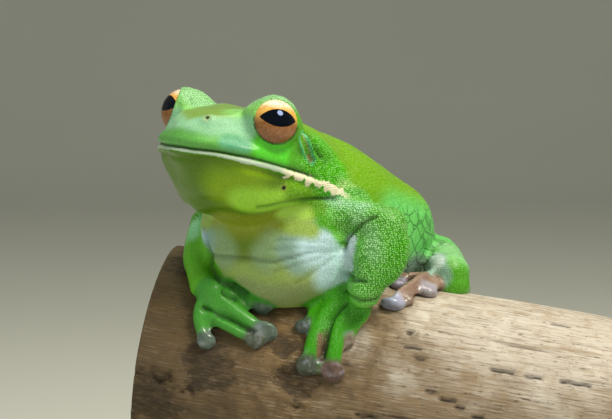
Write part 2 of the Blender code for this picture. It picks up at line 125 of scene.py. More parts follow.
# ----------------------------------------------------------------------
# The arms and legs. Slim upper arms, broad flat forearms, and long folded hind legs: each is a
# round, softly bent form along a path of (x, y, z, radius) points, outwards from the body.

SIDES = {"left": 1.0, "right": -1.0}
UPPER_ARM = {
    "left": ((13, -12, 98.6, 6.2), (22, -12, 99.4, 4.7), (29.4, -11, 97.8, 4.9)),
    "right": ((-11.4, -13.4, 99, 6), (-17.8, -13, 98.4, 4.2), (-21.8, -12.6, 95.4, 4)),
}
FOREARM = {
    "left": ((29.4, -11, 97.8, 4.9), (29.4, -13.2, 91.5, 4.8), (26.4, -16.2, 82.6, 3.9)),
    "right": ((-21.8, -12.6, 95.4, 4), (-17.6, -21.8, 89.2, 3.6), (-11.2, -28.8, 82.8, 3.3)),
}
# The forearm's swelling: half its breadth, thickness and length, and the way its breadth lies.
FOREARM_MUSCLE = {"left": (6.3, 4.0, 8.6), "right": (4.3, 3.4, 8.0)}
FOREARM_BROAD = {"left": (0.85, 0.53, 0.0), "right": (-0.85, 0.53, 0.0)}
THIGH = {
    "left": ((9, 49, 81, 7.6), (18.5, 35, 83.6, 6.8), (32, 17, 83.6, 4.8)),
    "right": ((-9, 47, 83, 7.6), (-19.5, 31, 89, 6.8), (-32, 9, 91.6, 4.8)),
}
SHANK = {
    "left": ((32.4, 16.6, 80.6, 4.7), (22.6, 36, 76.2, 5), (12.5, 60, 69.6, 3.4)),
    "right": ((-32.4, 8.6, 87.4, 4.7), (-23, 29, 83.6, 5.2), (-13, 52, 76, 3.4)),
}


def ball(place, radius, squash=(1.0, 1.0, 1.0), facing=Matrix.Identity(4)):
    """A round form, flattened by squash in the frame that facing turns it to."""
    bpy.ops.mesh.primitive_uv_sphere_add(segments=28, ring_count=16, radius=radius * MM)
    made = bpy.context.object
    size = Matrix.Diagonal((*squash, 1.0))
    made.data.transform(Matrix.Translation(Vector(place) * MM) @ facing @ size)
    return made


def tube(path):
    """A round, softly bent form along (x, y, z, radius) points, with domed ends."""
    bpy.ops.curve.primitive_bezier_curve_add()
    made = bpy.context.object
    made.data.bevel_depth = MM
    made.data.bevel_resolution = 4
    made.data.resolution_u = 8
    made.data.use_fill_caps = True
    line = made.data.splines[0]
    line.bezier_points.add(len(path) - 2)
    for point, (x, y, z, radius) in zip(line.bezier_points, path):
        point.co = Vector((x, y, z)) * MM
        point.radius = radius
        point.handle_left_type = "AUTO"
        point.handle_right_type = "AUTO"
    select_only(made)
    bpy.ops.object.convert(target="MESH")
    made = bpy.context.object
    weld(made)
    return [made, ball(path[0][:3], path[0][3]), ball(path[-1][:3], path[-1][3])]


for side in SIDES:
    forms += tube(UPPER_ARM[side]) + tube(FOREARM[side]) + tube(THIGH[side]) + tube(SHANK[side])
    elbow, middle, wrist = [Vector(point[:3]) for point in FOREARM[side]]
    down = (wrist - elbow).normalized()
    thick = down.cross(Vector(FOREARM_BROAD[side])).normalized()
    facing = Matrix((thick.cross(down), thick, down)).transposed().to_4x4()
    forms.append(ball(middle, 1.0, FOREARM_MUSCLE[side], facing))

# ----------------------------------------------------------------------
# The hands and feet. Four fingers and five toes on each side end in round, flattened pads that
# grip the bark, and webs of thin skin join the lower parts of the digits.

BRANCH_RADIUS = 29.0
BRANCH_CENTRE = (0.0, 0.0, 55.0)
BRANCH_HEADING = 24.0
BRANCH_SLOPE = -8.5
# Places on the branch are (along, angle, lift): along its axis, round it from its top towards
# the frog's front, and over its bark. A digit is its joints, its pad's place, and both radii.
PALM = {"left": (11.5, 33.0, 5.6, 4.2), "right": (-23.0, 45.6, 4.4, 3.4)}
FINGERS = {
    "left": (
        (((6.6, 33, 3.6), (2.9, 41, 2.2)), (0.2, 51.5), 1.5, 2.5),
        (((6.8, 39.5, 4.6), (4.3, 47, 3.1), (3.1, 58, 2)), (2.6, 69.4), 1.7, 2.8),
        (((9.8, 42, 4.7), (8, 52, 3.1), (8.3, 60, 2)), (8.9, 70), 2, 3),
        (((13.6, 41, 3.3), (12, 47.5, 2.2)), (10.8, 54.8), 1.4, 1.9),
    ),
    "right": (
        (((-19.5, 42.9, 3.4), (-15.5, 44, 2.4)), (-10.9, 45.6), 1.3, 2.2),
        (((-19.2, 49.5, 3.6), (-12.9, 54.8, 2.4)), (-8.9, 57.2), 1.8, 3.3),
        (((-21.5, 54.4, 2.9), (-16, 58.6, 2)), (-10.8, 61.8), 1.5, 2.6),
        (((-25, 54.5, 2.8), (-24, 60.5, 1.9)), (-22.2, 66), 1.4, 2.4),
    ),
}
SOLE = {
    "left": ((13, 59.5, 68.6, 3), (17, 40, 71.4, 2.8), (21.2, 27, 78.4, 2.7),
             (25.8, 17.5, 81.4, 2.1)),
    "right": ((-13.4, 51.5, 74.4, 3), (-17.4, 32, 78.4, 2.8), (-20.6, 18, 83.2, 2.7),
              (-23.4, 5, 87.2, 2.8)),
}
TOES = {
    "left": (
        (((24.2, 3, 3.2), (21.6, 5.5, 3)), (19.6, 10.5), 0.9, 2.1),
        (((25.3, 6, 3.6), (22.9, 15.6, 2.8), (20.8, 22.6, 2.2)), (19.4, 29.4), 1.05, 3),
        (((26, 5, 2), (24.2, 14, 1.6)), (22.8, 24.6), 0.85, 1.7),
        (((28.4, 0, 2.4), (28.8, 6, 1.9)), (27, 12.8), 1, 2.6),
        (((29, -7, 2.4), (31, -8, 1.8)), (31.6, -5), 1, 2),
    ),
    "right": (
        (((-18.5, -9, 2.8), (-20.2, -2, 1.8)), (-22, 5), 1.3, 2.3),
        (((-20.5, -10, 2.8), (-23.6, -2, 1.8)), (-26.4, 6.5), 1.4, 2.6),
        (((-21.5, -12, 3), (-26.4, -2, 1.9)), (-31, 7.5), 1.5, 2.8),
        (((-22, -15, 2.8), (-27.8, -8, 1.8)), (-33.4, 0), 1.5, 2.6),
        (((-22, -20, 2.6), (-27.4, -17, 1.7)), (-32.6, -10), 1.4, 2.4),
    ),
}
PAD_LIFT = 1.1
PAD_THICKNESS = 1.5
# The radius of a digit at its root, joints and tip, as shares of the limb's end or its own.
ROOT_SHARE = {"hand": 0.75, "foot": 0.7}
JOINT_SHARE = 1.1
TIP_SHARE = 0.85
TIP_RISE = 0.3
# The share of the digits' length that each web reaches, beside the digits and midway.
WEB_REACH = {"hand": ((0.42, 0.23), (0.98, 0.95), (0.42, 0.23)), "foot": ((0.12, 0.07),) * 4}
WEB_THICKNESS = 0.9

heading = math.radians(BRANCH_HEADING)
slope = math.radians(BRANCH_SLOPE)
branch_axis = Vector((
    math.cos(slope) * math.cos(heading), math.cos(slope) * math.sin(heading), math.sin(slope)
))
branch_front = branch_axis.cross(Vector((0.0, 0.0, 1.0))).normalized()
branch_upper = branch_front.cross(branch_axis)


def on_branch(along, angle, lift):
    """A place on the branch, in the frame's axes."""
    turn = math.radians(angle)
    outward = branch_upper * math.cos(turn) + branch_front * math.sin(turn)
    return Vector(BRANCH_CENTRE) + branch_axis * along + outward * (BRANCH_RADIUS + lift)


def apply_modifier(thing, kind, **settings):
    made = thing.modifiers.new(kind.lower(), kind)
    for name, value in settings.items():
        setattr(made, name, value)
    select_only(thing)
    bpy.ops.object.modifier_apply(modifier=made.name)


def put_in_scene(name, data):
    made = bpy.data.objects.new(name, data)
    bpy.context.scene.collection.objects.link(made)
    return made


def mesh_of(name, corners, faces):
    """A new mesh object from its corners in metres and its faces."""
    mesh = bpy.data.meshes.new(name)
    mesh.from_pydata(corners, [], faces)
    return put_in_scene(name, mesh)


def web(path_a, path_b, reach):
    """A thin fold of skin between the lower parts of two digits, hollowed at its free edge."""
    steps = 6
    across = 5
    beside, midway = reach
    corners = []
    for i in range(steps + 1):
        for j in range(across):
            share = j / (across - 1)
            t = (beside + (midway - beside) * math.sin(math.pi * share)) * i / steps
            ends = []
            for path in (path_a, path_b):
                spot = t * (len(path) - 1)
                k = min(int(spot), len(path) - 2)
                ends.append(Vector(path[k][:3]).lerp(Vector(path[k + 1][:3]), spot - k))
            corners.append(ends[0].lerp(ends[1], share) * MM)
    firsts = [i * across + j for i in range(steps) for j in range(across - 1)]
    faces = [(k, k + 1, k + across + 1, k + across) for k in firsts]
    made = mesh_of("web", corners, faces)
    apply_modifier(made, "SOLIDIFY", thickness=WEB_THICKNESS * MM, offset=0.0)
    return made


pads = []
for side in SIDES:
    palm = (*on_branch(*PALM[side][:3]), PALM[side][3])
    forms += tube((FOREARM[side][-1], palm)) + tube(SOLE[side])
    for kind, end, digits in (("hand", palm, FINGERS), ("foot", SOLE[side][-1], TOES)):
        paths = []
        for joints, (along, angle), radius, pad_radius in digits[side]:
            path = [(*end[:3], end[3] * ROOT_SHARE[kind])]
            path += [(*on_branch(*joint), radius * JOINT_SHARE) for joint in joints]
            path.append((*on_branch(along, angle, PAD_LIFT + TIP_RISE), radius * TIP_SHARE))
            forms += tube(path)
            paths.append(path)
            turn = Matrix.Rotation(math.radians(-angle), 4, branch_axis)
            facing = Matrix((branch_front, branch_axis, branch_upper)).transposed().to_4x4()
            centre = on_branch(along, angle, PAD_LIFT)
            size = (pad_radius, pad_radius, PAD_THICKNESS)
            forms.append(ball(centre, 1.0, size, turn @ facing))
            pads.append({"kind": kind, "side": side, "centre": np.array(centre),
                         "radius": pad_radius, "line": [point[:3] for point in path]})
        forms += [web(*pair) for pair in zip(paths, paths[1:], WEB_REACH[kind])]

# ----------------------------------------------------------------------
# The eyelids and the one skin. A thin fleshy rim holds each eyeball. All the forms are then
# grown until they touch, made one surface, and drawn in again to their true size.

# Places on the head are in its own frame: left, snout, crown, from midway between the eyes.
HEAD_PITCH = 15.0
EYE_RADIUS = 5.8
# Where each eye looks, and how far from there its lid's rim lies, in degrees.
EYE_OUTWARD = {"left": 56.0, "right": 43.0}
EYE_UPWARD = 8.0
LID_ANGLE = 60.0
LID_THICKNESS = 0.5
# Soft forms that fill the head out: behind each ear, down each side of the neck, and the thin
# skin across the left armpit.
EAR_BACKING = ((14.8, -6.0, -2.4, 3.4), (15.0, -11.0, -6.6, 3.4))
NECK = ((13.4, -27.5, 118, 3.9), (13.6, -22, 116.2, 4.4), (13, -12, 111.4, 4.6))
ARMPIT_WEB = ((24, -14.9, 97.2, 1), (22.6, -15.4, 93.5, 1.3), (22.4, -15.1, 88.5, 1.2),
              (22.2, -14.2, 85.5, 1))
# How far the forms are grown to touch, the skin's mesh, and the two steps of each smoothing.
GROWTH = 0.42
SKIN_MESH = 0.62
SMOOTHING = (0.6, -0.62)
SMOOTHING_PASSES = 10

eye_centre = {side: sum(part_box(f"eye_{side}"), Vector()) / 2.0 / MM for side in SIDES}
head_place = (eye_centre["left"] + eye_centre["right"]) / 2.0
head_left = (eye_centre["left"] - eye_centre["right"]).normalized()
forward = Vector((0.0, 0.0, 1.0)).cross(head_left).normalized() * -1.0
upward = head_left.cross(forward) * -1.0
pitch = math.radians(HEAD_PITCH)
head_snout = forward * math.cos(pitch) + upward * math.sin(pitch)
head_crown = upward * math.cos(pitch) - forward * math.sin(pitch)


def from_head(left, snout, crown):
    return head_place + head_left * left + head_snout * snout + head_crown * crown


gaze = {}
up = math.radians(EYE_UPWARD)
spread = math.radians(LID_ANGLE)
for side, sign in SIDES.items():
    out = math.radians(EYE_OUTWARD[side])
    gaze[side] = (head_left * (sign * math.sin(out) * math.cos(up))
                  + head_snout * (math.cos(out) * math.cos(up)) + head_crown * math.sin(up))
    middle = eye_centre[side] + gaze[side] * (EYE_RADIUS * math.cos(spread))
    bpy.ops.mesh.primitive_torus_add(
        major_segments=60, minor_segments=12, major_radius=EYE_RADIUS * math.sin(spread) * MM,
        minor_radius=LID_THICKNESS * MM)
    rim = bpy.context.object
    turn = gaze[side].to_track_quat("Z", "Y").to_matrix().to_4x4()
    rim.data.transform(Matrix.Translation(middle * MM) @ turn)
    forms += [rim, ball(eye_centre[side], EYE_RADIUS + LID_THICKNESS)]
    forms += tube([(*from_head(sign * left, snout, crown), radius)
                   for left, snout, crown, radius in EAR_BACKING])
    forms += tube([(sign * x, y, z, radius) for x, y, z, radius in NECK])
forms += tube(ARMPIT_WEB)


def values_of(thing, name):
    """The co, in metres, or normal of each point of a mesh."""
    flat = np.empty(len(thing.data.vertices) * 3)
    thing.data.vertices.foreach_get(name, flat)
    return flat.reshape(-1, 3)


def points_of(thing):
    return values_of(thing, "co") / MM


def move_points(thing, points):
    thing.data.vertices.foreach_set("co", (points * MM).ravel())
    thing.data.update()


def neighbours_of(thing):
    flat = np.empty(len(thing.data.edges) * 2, int)
    thing.data.edges.foreach_get("vertices", flat)
    ends = flat.reshape(-1, 2)
    both = np.concatenate([ends, ends[:, ::-1]])
    return both, np.bincount(both[:, 0], minlength=len(thing.data.vertices))


def average(values, near):
    """Each point's value taken from the points beside it."""
    both, count = near
    columns = values.reshape(len(values), -1)
    result = np.empty_like(columns)
    for i in range(columns.shape[1]):
        result[:, i] = np.bincount(both[:, 0], columns[both[:, 1], i], minlength=len(values))
    return (result / count[:, None]).reshape(values.shape)


def relax(points, near, passes):
    """Even out a surface without shrinking it: each smoothing step has an opposite one."""
    for factor in SMOOTHING * passes:
        points = points + (average(points, near) - points) * factor
    return points


def drop_crumbs(thing):
    """Keep only the piece of the mesh that holds its highest point."""
    mesh = bmesh.new()
    mesh.from_mesh(thing.data)
    waiting = [max(mesh.verts, key=lambda vert: vert.co.z)]
    kept = set(waiting)
    while waiting:
        for edge in waiting.pop().link_edges:
            fresh = [vert for vert in edge.verts if vert not in kept]
            kept.update(fresh)
            waiting += fresh
    crumbs = [vert for vert in mesh.verts if vert not in kept]
    bmesh.ops.delete(mesh, geom=crumbs, context="VERTS")
    mesh.to_mesh(thing.data)
    mesh.free()


select_only(*forms)
bpy.ops.object.join()
skin = bpy.context.view_layer.objects.active
skin.name = "frog_skin"
apply_modifier(skin, "DISPLACE", strength=GROWTH * MM, mid_level=0.0)
apply_modifier(skin, "REMESH", mode="VOXEL", voxel_size=SKIN_MESH * MM)
drop_crumbs(skin)
near = neighbours_of(skin)
move_points(skin, relax(points_of(skin), near, SMOOTHING_PASSES))
shrunk = points_of(skin) - values_of(skin, "normal") * GROWTH
move_points(skin, relax(shrunk, near, SMOOTHING_PASSES))

# ----------------------------------------------------------------------
# The face and the folds. The real skin is pressed into a lip line, nostrils, a round ear drum
# and creases where it bends, and is swollen between them.

# The mouth line's snout and crown places. The lips are rolls along it: how far above it, how
# wide, how far out, and the share of this that is left at the corner of the mouth.
MOUTH = ((13.3, -9.8), (10.6, -9.3), (2.9, -9), (-6.8, -9.1), (-17.4, -9.5), (-25.2, -10.1))
LIP_ROLLS = ((0, 0.42, -0.75, 0), (1.7, 1.2, 0.42, 0), (-1.15, 0.7, 0.34, 0.35),
             (-2.6, 0.7, -0.34, 0))
# Swellings and hollows of the head, and of the rump on both sides: place, width and rise.
MASSES = (
    ((10, 10, -3.6), 4, -0.9), ((-10, 10, -3.6), 4, -0.9),
    ((6, 13.4, -4.6), 3, -0.5), ((-6, 13.4, -4.6), 3, -0.5),
    ((-11.5, 8, -1), 3, -0.8), ((8.6, 3.4, 1.6), 2.6, 1), ((-5.5, -3, 3.4), 3.5, 0.9),
    ((-10.2, -4, 5.4), 3.2, -1), ((-13.5, -0.5, 7), 4, -0.7),
    ((7.5, 9.8, -14), 5, -1.4), ((-7.5, 9.8, -14), 5, -1.4),
)
RUMP = ((21.0, 20.0, 99.0), 9.0, 2.3)
NOSTRIL = {"left": (5.0, 11.6, -1.9), "right": (-7.4, 10.4, -4.4)}
NOSTRIL_RIM = (0.75, 1.7)
NOSTRIL_HOLE = (-2.0, 0.6)
# Lines drawn over the skin: what each is, its frame and its places. One in the body's or the
# head's frame is on both sides; a limb's, in the body's frame, and a branch's are not.
ARMPIT = (20.5, -14.8, 93.6)
LINES = (
    ("chest", "limb", ((-9.9, -26.9, 90), (0.2, -27.6, 90.1), (8.4, -27.2, 89.7),
                       (15.8, -23.5, 92.2), (21.1, -14.1, 92.4))),
    ("arm", "limb", ((-15.4, -23.3, 96.3), (-12.4, -26.1, 92.9), (-11, -26.9, 90.4),
                     (-10.2, -27.3, 87.6), (-8.1, -27.9, 85.3), (-6, -28.7, 84.3),
                     (-3.9, -27, 82.9), (-1, -25.8, 81))),
    ("elbow", "limb", ((20.9, -14.7, 90.6), (20.8, -14.9, 93), (21.9, -15.6, 95.4),
                       (24.3, -15.8, 97.6), (26.6, -16, 99.3), (28.7, -15.4, 100.5))),
    ("canthus", "head", ((5.6, 11.4, -0.4), (8.4, 8.6, 0.6), (10.6, 5, 1.4))),
    ("ear", "head", ((18.6, -5.7, -0.8), (18.8, -7.2, -2.6), (18.2, -9.3, -4.3),
                     (18, -11, -5.9))),
    ("ear_fold", "head", ((18.5, -6.2, 0.6), (18.8, -9, -1.1), (19.5, -11.4, -3.1),
                          (18.4, -14.7, -4.8))),
    ("throat_fold", "body", ((9, -34.9, 103.2), (11.3, -32.8, 103.6), (13.6, -29.4, 104.4),
                             (14.8, -26.3, 104.7), (15.7, -23.4, 104.6), (16.8, -19.8, 104.4),
                             (18.1, -16.5, 104.2))),
    ("throat_bulge", "body", ((6, -33.5, 105.6), (11, -31.5, 106.6), (15.6, -26, 107.6))),
    ("wrist", "body", ((20.9, -15.1, 82.3), (25.2, -19.1, 81.8), (27.1, -19.5, 81),
                       (28.9, -18.5, 80.9), (29.9, -16.4, 81))),
    ("wrist", "body", ((20.6, -13.1, 86.5), (24.6, -18, 85.4), (28.2, -19.2, 85.5))),
    ("finger", "branch", ((9.2, 43, 6.5), (7.4, 46.2, 5.8), (6.4, 49.7, 4.9), (6.1, 56, 4),
                          (5.8, 65, 2.2))),
    ("finger", "branch", ((-24, 53.7, 4.5), (-20.5, 55, 4.2), (-17.1, 56.2, 3.7),
                          (-11.5, 59.3, 2.8))),
    ("finger", "branch", ((-20.5, 46.6, 5.4), (-17.4, 46.5, 4))),
    ("armpit", "limb", (ARMPIT, (9, -27, 95))),
    ("armpit", "limb", (ARMPIT, (7, -27.5, 92.6))),
    ("armpit", "limb", (ARMPIT, (8, -27, 87.4))),
    ("armpit", "limb", (ARMPIT, (12, -24, 85))),
)
# The ear's rim runs round its line. A rim, roll or crease is how far out it is and how wide.
EAR_WIDTH = 1.1
EAR_RIM = (0.45, 0.4)
EAR_SINK = 0.4
EAR_FOLD_ROLL = (0.6, 1.2)
EAR_FOLD_CREASE = (-0.6, 0.5)
# How far each other line pushes the skin out, and how wide each push is. The skin's mesh is
# made finer within a distance of some lines, of the eyes, the nostrils and the mouth.
PUSHES = {
    "chest": ((-0.55, 0.6), (0.3, 2.4)), "arm": ((-1.5, 0.9),), "elbow": ((-0.8, 0.6),),
    "canthus": ((0.5, 1.6),), "throat_fold": ((-0.9, 0.6),), "throat_bulge": ((1.1, 3.2),),
    "wrist": ((-0.7, 0.7),), "finger": ((-1.1, 0.75),), "armpit": ((-0.25, 0.5),),
}
FINER = {"ear": 2.4, "throat_fold": 2.4, "elbow": 1.3, "wrist": 1.3, "finger": 1.3}
FINER_MOUTH = 3.0
FINER_EYE = 1.4
FINER_NOSTRIL = 2.6
# Over the eyeball the skin lies clear of it; inside the lid's rim it is drawn in behind it.
LID_CLEARANCE = 0.35
BEHIND_EYE = 0.8
LID_REACH = 2.5


def in_head(points):
    return (points - np.array(head_place)) @ np.array([head_left, head_snout, head_crown]).T


def smooth_step(low, high, values):
    t = np.clip((values - low) / (high - low), 0.0, 1.0)
    return t * t * (3.0 - 2.0 * t)


def distance_to(points, line):
    """Distance of each point from a line through the given places."""
    nearest = np.full(len(points), 1e9)
    for start, end in zip(np.array(line[:-1], float), np.array(line[1:], float)):
        way = end - start
        t = np.clip((points - start) @ way / max(way @ way, 1e-9), 0.0, 1.0)
        nearest = np.minimum(nearest, np.linalg.norm(points - start - t[:, None] * way, axis=1))
    return nearest


def away_from(points, place):
    """Distance of each point from one place."""
    return np.linalg.norm(points - np.array(place), axis=1)


PLACED_BY = {"head": from_head, "chin": from_head, "left_jaw_light": from_head, "branch": on_branch}


def placed_lines(where, places):
    """A line in the body's axes, and its mirror image where its frame has both sides."""
    place = PLACED_BY.get(where, lambda *spot: Vector(spot))
    signs = SIDES.values() if where in ("body", "head", "chin") else (1.0,)
    return [[place(sign * x, y, z) for x, y, z, *_ in places] for sign in signs]


def on_skin(line):
    """The line, drawn over the skin between its places."""
    spots = []
    for start, end in zip(line[:-1], line[1:]):
        count = max(1, round((end - start).length))
        spots += [start.lerp(end, i / count) for i in range(count)]
    return [skin_tree.find_nearest(spot)[0] for spot in spots + [line[-1]]]


def refine(keep):
    """Split the skin's faces in two each way where keep is true."""
    mesh = bmesh.new()
    mesh.from_mesh(skin.data)
    edges = [edge for edge in mesh.edges
             if keep[edge.verts[0].index] and keep[edge.verts[1].index]]
    bmesh.ops.subdivide_edges(mesh, edges=edges, cuts=1, use_grid_fill=True)
    mesh.to_mesh(skin.data)
    mesh.free()


def mark(distance, width):
    """A soft ridge of height 1: it fades to nothing about two widths away."""
    return np.exp(-((distance / width) ** 2))


def mouth_height(places):
    """How far places in the head's frame lie above the mouth line."""
    snout, crown = np.array(MOUTH[::-1]).T
    return places[:, 2] - np.interp(places[:, 1], snout, crown)


skin_tree = BVHTree.FromPolygons(
    [Vector(point) for point in points_of(skin)],
    [tuple(polygon.vertices) for polygon in skin.data.polygons])
drawn = [(name, on_skin(line)) for name, where, places in LINES
         for line in placed_lines(where, places)]

points = points_of(skin)
face = in_head(points)
on_face = smooth_step(-27.0, -24.0, face[:, 1])
on_face *= smooth_step(4.0, 8.0, np.abs(face[:, 0]) + face[:, 1])
fine = (np.abs(mouth_height(face)) < FINER_MOUTH) & (on_face > 0.0)
for side in SIDES:
    fine |= away_from(points, eye_centre[side]) < EYE_RADIUS + FINER_EYE
    fine |= away_from(face, NOSTRIL[side]) < FINER_NOSTRIL
for name, line in drawn:
    if name in FINER:
        fine |= distance_to(points, line) < FINER[name]
refine(fine)
near = neighbours_of(skin)
points = relax(points_of(skin), near, 2)
move_points(skin, points)
normals = values_of(skin, "normal")
face = in_head(points)
height = mouth_height(face)
lip_zone = smooth_step(-26.6, -23.0, face[:, 1])
closed = smooth_step(-20.0, -11.0, face[:, 1])
outer = smooth_step(0.95, 0.7, np.abs(normals @ np.array(head_crown)))
push = np.zeros(len(points))
for above, width, rise, at_corner in LIP_ROLLS:
    push += rise * mark(height - above, width) * (at_corner + (1.0 - at_corner) * closed)
push *= lip_zone * outer
for side in SIDES:
    for rise, width in (NOSTRIL_RIM, NOSTRIL_HOLE):
        push += rise * mark(away_from(face, NOSTRIL[side]), width)
creased = np.zeros(len(points))
for name, line in drawn:
    reach = distance_to(points, line)
    if name == "ear":
        rise, width = EAR_RIM
        push += rise * mark(reach - EAR_WIDTH, width)
        push -= EAR_SINK * smooth_step(EAR_WIDTH, 0.5, reach)
    elif name == "ear_fold":
        rise, width = EAR_FOLD_ROLL
        push += rise * mark(reach - EAR_WIDTH, width)
        rise, width = EAR_FOLD_CREASE
        push += rise * mark(reach, width)
        # Painted shade under the overhang of the fold over the ear.
        creased = np.maximum(creased, mark(reach, 0.7 * width))
    for rise, width in PUSHES.get(name, ()):
        push += rise * mark(reach, width)
        # An inward push also marks its crease for painted shade.
        if rise < 0.0:
            creased = np.maximum(creased, min(1.0, -1.4 * rise) * mark(reach, 0.7 * width))
for place, width, rise in MASSES:
    push += rise * mark(away_from(face, place), width)
both_sides = np.column_stack([np.abs(points[:, 0]), points[:, 1:]])
place, width, rise = RUMP
push += rise * mark(away_from(both_sides, place), width)
points = points + normals * push[:, None]

eye_angle = np.full(len(points), 180.0)
for side in SIDES:
    centre = np.array(eye_centre[side])
    out = points - centre
    reach = np.linalg.norm(out, axis=1)
    angle = np.degrees(np.arccos(np.clip(out @ np.array(gaze[side]) / reach, -1.0, 1.0)))
    within = smooth_step(LID_ANGLE + 0.5, LID_ANGLE - 2.5, angle)
    over_ball = np.maximum(reach, EYE_RADIUS + LID_CLEARANCE)
    wanted = over_ball + (EYE_RADIUS - BEHIND_EYE - over_ball) * within
    at_eye = reach < EYE_RADIUS + LID_REACH
    points = np.where(at_eye[:, None], centre + out * (wanted / reach)[:, None], points)
    eye_angle = np.where(at_eye, angle, eye_angle)
move_points(skin, relax(points, near, 1))

# ----------------------------------------------------------------------
# The frog's colours. A living green over the back, olive under the chin, pale blue and green on
# the chest and belly, and brown toes, each laid softly over the last as with an airbrush. Painted
# sheen lies on the snout, lip, neck, shoulder and arms, and painted light on the left jaw.

BASE_GREEN = "#5DAC16"
# A patch is its frame, colour, the reach of its full strength and of its edge, and its line.
# It is painted on both sides, but a limb's, in the body's frame, only where its line is. The
# chin's frame is the head's, below the mouth line only; the left jaw's is that on the left
# alone, where painted light makes the jaw lighter on the side the light falls on.
PAINT = (
    ("body", "#76AE08", 20, 32, ((0, -4, 118), (0, 20, 112), (0, 45, 98), (0, 62, 86))),
    ("body", "#70D468", 5, 11.5, ((23, 4, 96), (24, 18, 92), (22, 34, 87))),
    ("body", "#9FB85E", 10, 18, ((4, -27, 87), (6, 0, 80), (6, 30, 76))),
    ("body", "#92A268", 2, 6, ((0, -27, 81), (8, -26, 80), (14, -22, 81))),
    ("chin", "#557A00", 8, 13, ((0, 12, -14), (7, 8, -15), (14, 0, -14), (0, -4, -18))),
    # Painted light: the left jaw alone is lighter, for the light that falls on that side.
    ("left_jaw_light", "#8DB400", 1.5, 9, ((9, 5, -17), (13, 3, -15))),
    ("left_jaw_light", "#A8E43C", 2, 5.5, ((11, 0, -18), (15, -5, -17.5), (17, -9, -16))),
    ("chin", "#76B010", 2, 5, ((18, -9, -13), (19, -15, -12))),
    ("body", "#708C24", 4, 8, ((8, -26, 98), (3, -28, 95))),
    ("body", "#8C9C20", 3, 7, ((0, -31, 99.5), (7, -28, 98.5), (12, -25, 98))),
    ("body", "#B2DE5A", 1, 3.5, ((11, -27, 101.5), (14, -23.5, 101))),
    ("body", "#93B07C", 2, 6, ((6, -28, 91), (8, -27, 93))),
    ("body", "#93B4A4", 2, 5, ((12, -26, 93), (14, -25, 90))),
    ("body", "#CDEEF8", 3, 7, ((17, -22, 93.5), (19.5, -17, 91), (19, -18, 86.5))),
    # Painted highlight: near-white blue at the inner elbow crease.
    ("body", "#D4FBFF", 1, 4, ((20, -16.5, 93.5), (20.2, -17, 89.5))),
    ("body", "#A0BC5A", 1, 3.5, ((12.5, -25.2, 98.2), (15.8, -22.8, 97.4))),
    ("head", "#7EA448", 5, 12, ((0, 8, 1), (0, 0, 2.5), (0, -10, 3))),
    ("head", "#8BD06B", 2, 6, ((11.5, 5, 1), (8, 5, 3))),
    ("head", "#A4E49C", 4, 7, ((10, 0, 5), (13, -1, 5))),
    # Painted sheen: pale blue-green along the side of the snout stands for the light's reflection.
    ("head", "#96CFA2", 2.2, 4.6, ((3, 14, -5), (8, 11, -4), (12, 6.5, -3))),
    ("head", "#6AB454", 1, 3.4, ((0, 15, -8), (8, 12.5, -8), (12, 8, -7))),
    # Painted sheen: blue-green on the rear of the upper lip.
    ("head", "#64B084", 1, 3, ((11, 9.5, -6.5), (14, 6.5, -6.5))),
    ("head", "#5CD832", 2, 5, ((16.5, 2, -6.5), (18.5, -3, -7))),
    ("head", "#54A822", 2, 4, ((18, -7, -7), (19, -10, -8.5))),
    ("head", "#60D000", 4, 8, ((18, -14, -5), (19, -20, -8))),
    # Painted sheen: pale green at the base of the neck.
    ("head", "#BCEC88", 1, 4, ((18.8, -24.7, -10.2), (19.5, -28, -12))),
    ("body", "#9DB9A8", 4, 8, ((24, 14, 82), (20, 22, 80))),
    ("limb", "#78D050", 6.8, 8.4, UPPER_ARM["left"]),
    ("limb", "#74CC4C", 5.5, 6.9, FOREARM["left"]),
    ("limb", "#66BA20", 7.2, 8.6, UPPER_ARM["right"]),
    ("limb", "#66BA20", 5.2, 6.2, FOREARM["right"]),
    # Painted highlight: pale green down the lit front of the left forearm.
    ("limb", "#9AE08C", 0.5, 3.5, ((24, -17, 101), (28, -17, 96.5), (30, -17.6, 92))),
    ("limb", "#58C008", 1, 6, ((34.4, -13, 94), (32.5, -15, 84))),
    ("limb", "#8ECF88", 4, 7.5, ((32, 20, 86), (29, 24, 87))),
    ("limb", "#56A81E", 2, 5.5, ((36, 15, 82), (35, 10, 80))),
    ("limb", "#8FB4A4", 2.5, 4.5, ((28.5, 15, 86), (31, 12, 83.5))),
    ("limb", "#DCE8EC", 1.3, 3, ((27, 17, 86.4), (30, 13.5, 86.6))),
    ("limb", "#C4DCE4", 1, 2.1, ((22.7, -16.1, 94.6), (22.4, -16.2, 93), (22.2, -15.8, 88.5))),
    ("limb", "#52A80C", 0.5, 2.6, ((17.2, -20.4, 99), (19.6, -18.4, 98))),
    # Painted sheen: pale mint along the top of the left shoulder.
    ("limb", "#A4E8AC", 0, 3, ((16.5, -17, 104), (21, -15.6, 103.4), (25, -14.6, 102.8))),
    # Painted sheen: pale blue-green on the upper right arm.
    ("limb", "#98E0A8", 0.5, 3.5, ((-21, -18, 96), (-19, -21, 93))),
)
# Each hand is green along its digits and each foot brown, with a colour for every pad.
HAND_PAINT = {"left": "#42A014", "right": "#4CA038"}
PAD_PAINT = {("hand", "left"): ("#4F5A54", "#46503F", "#6E5650", "#8C7A6C"),
             ("hand", "right"): ("#5F7268", "#667870", "#56604E", "#66786E"),
             ("foot", "left"): ("#8A7C96", "#A9AACB", "#957B6E", "#A79CAB", "#A7A6B8"),
             ("foot", "right"): ("#A7A6B8",) * 5}
TOE_PAINT = "#95786A"
HAND_REACH = (3.2, 4.4)
TOE_REACH = (1.6, 2.6)
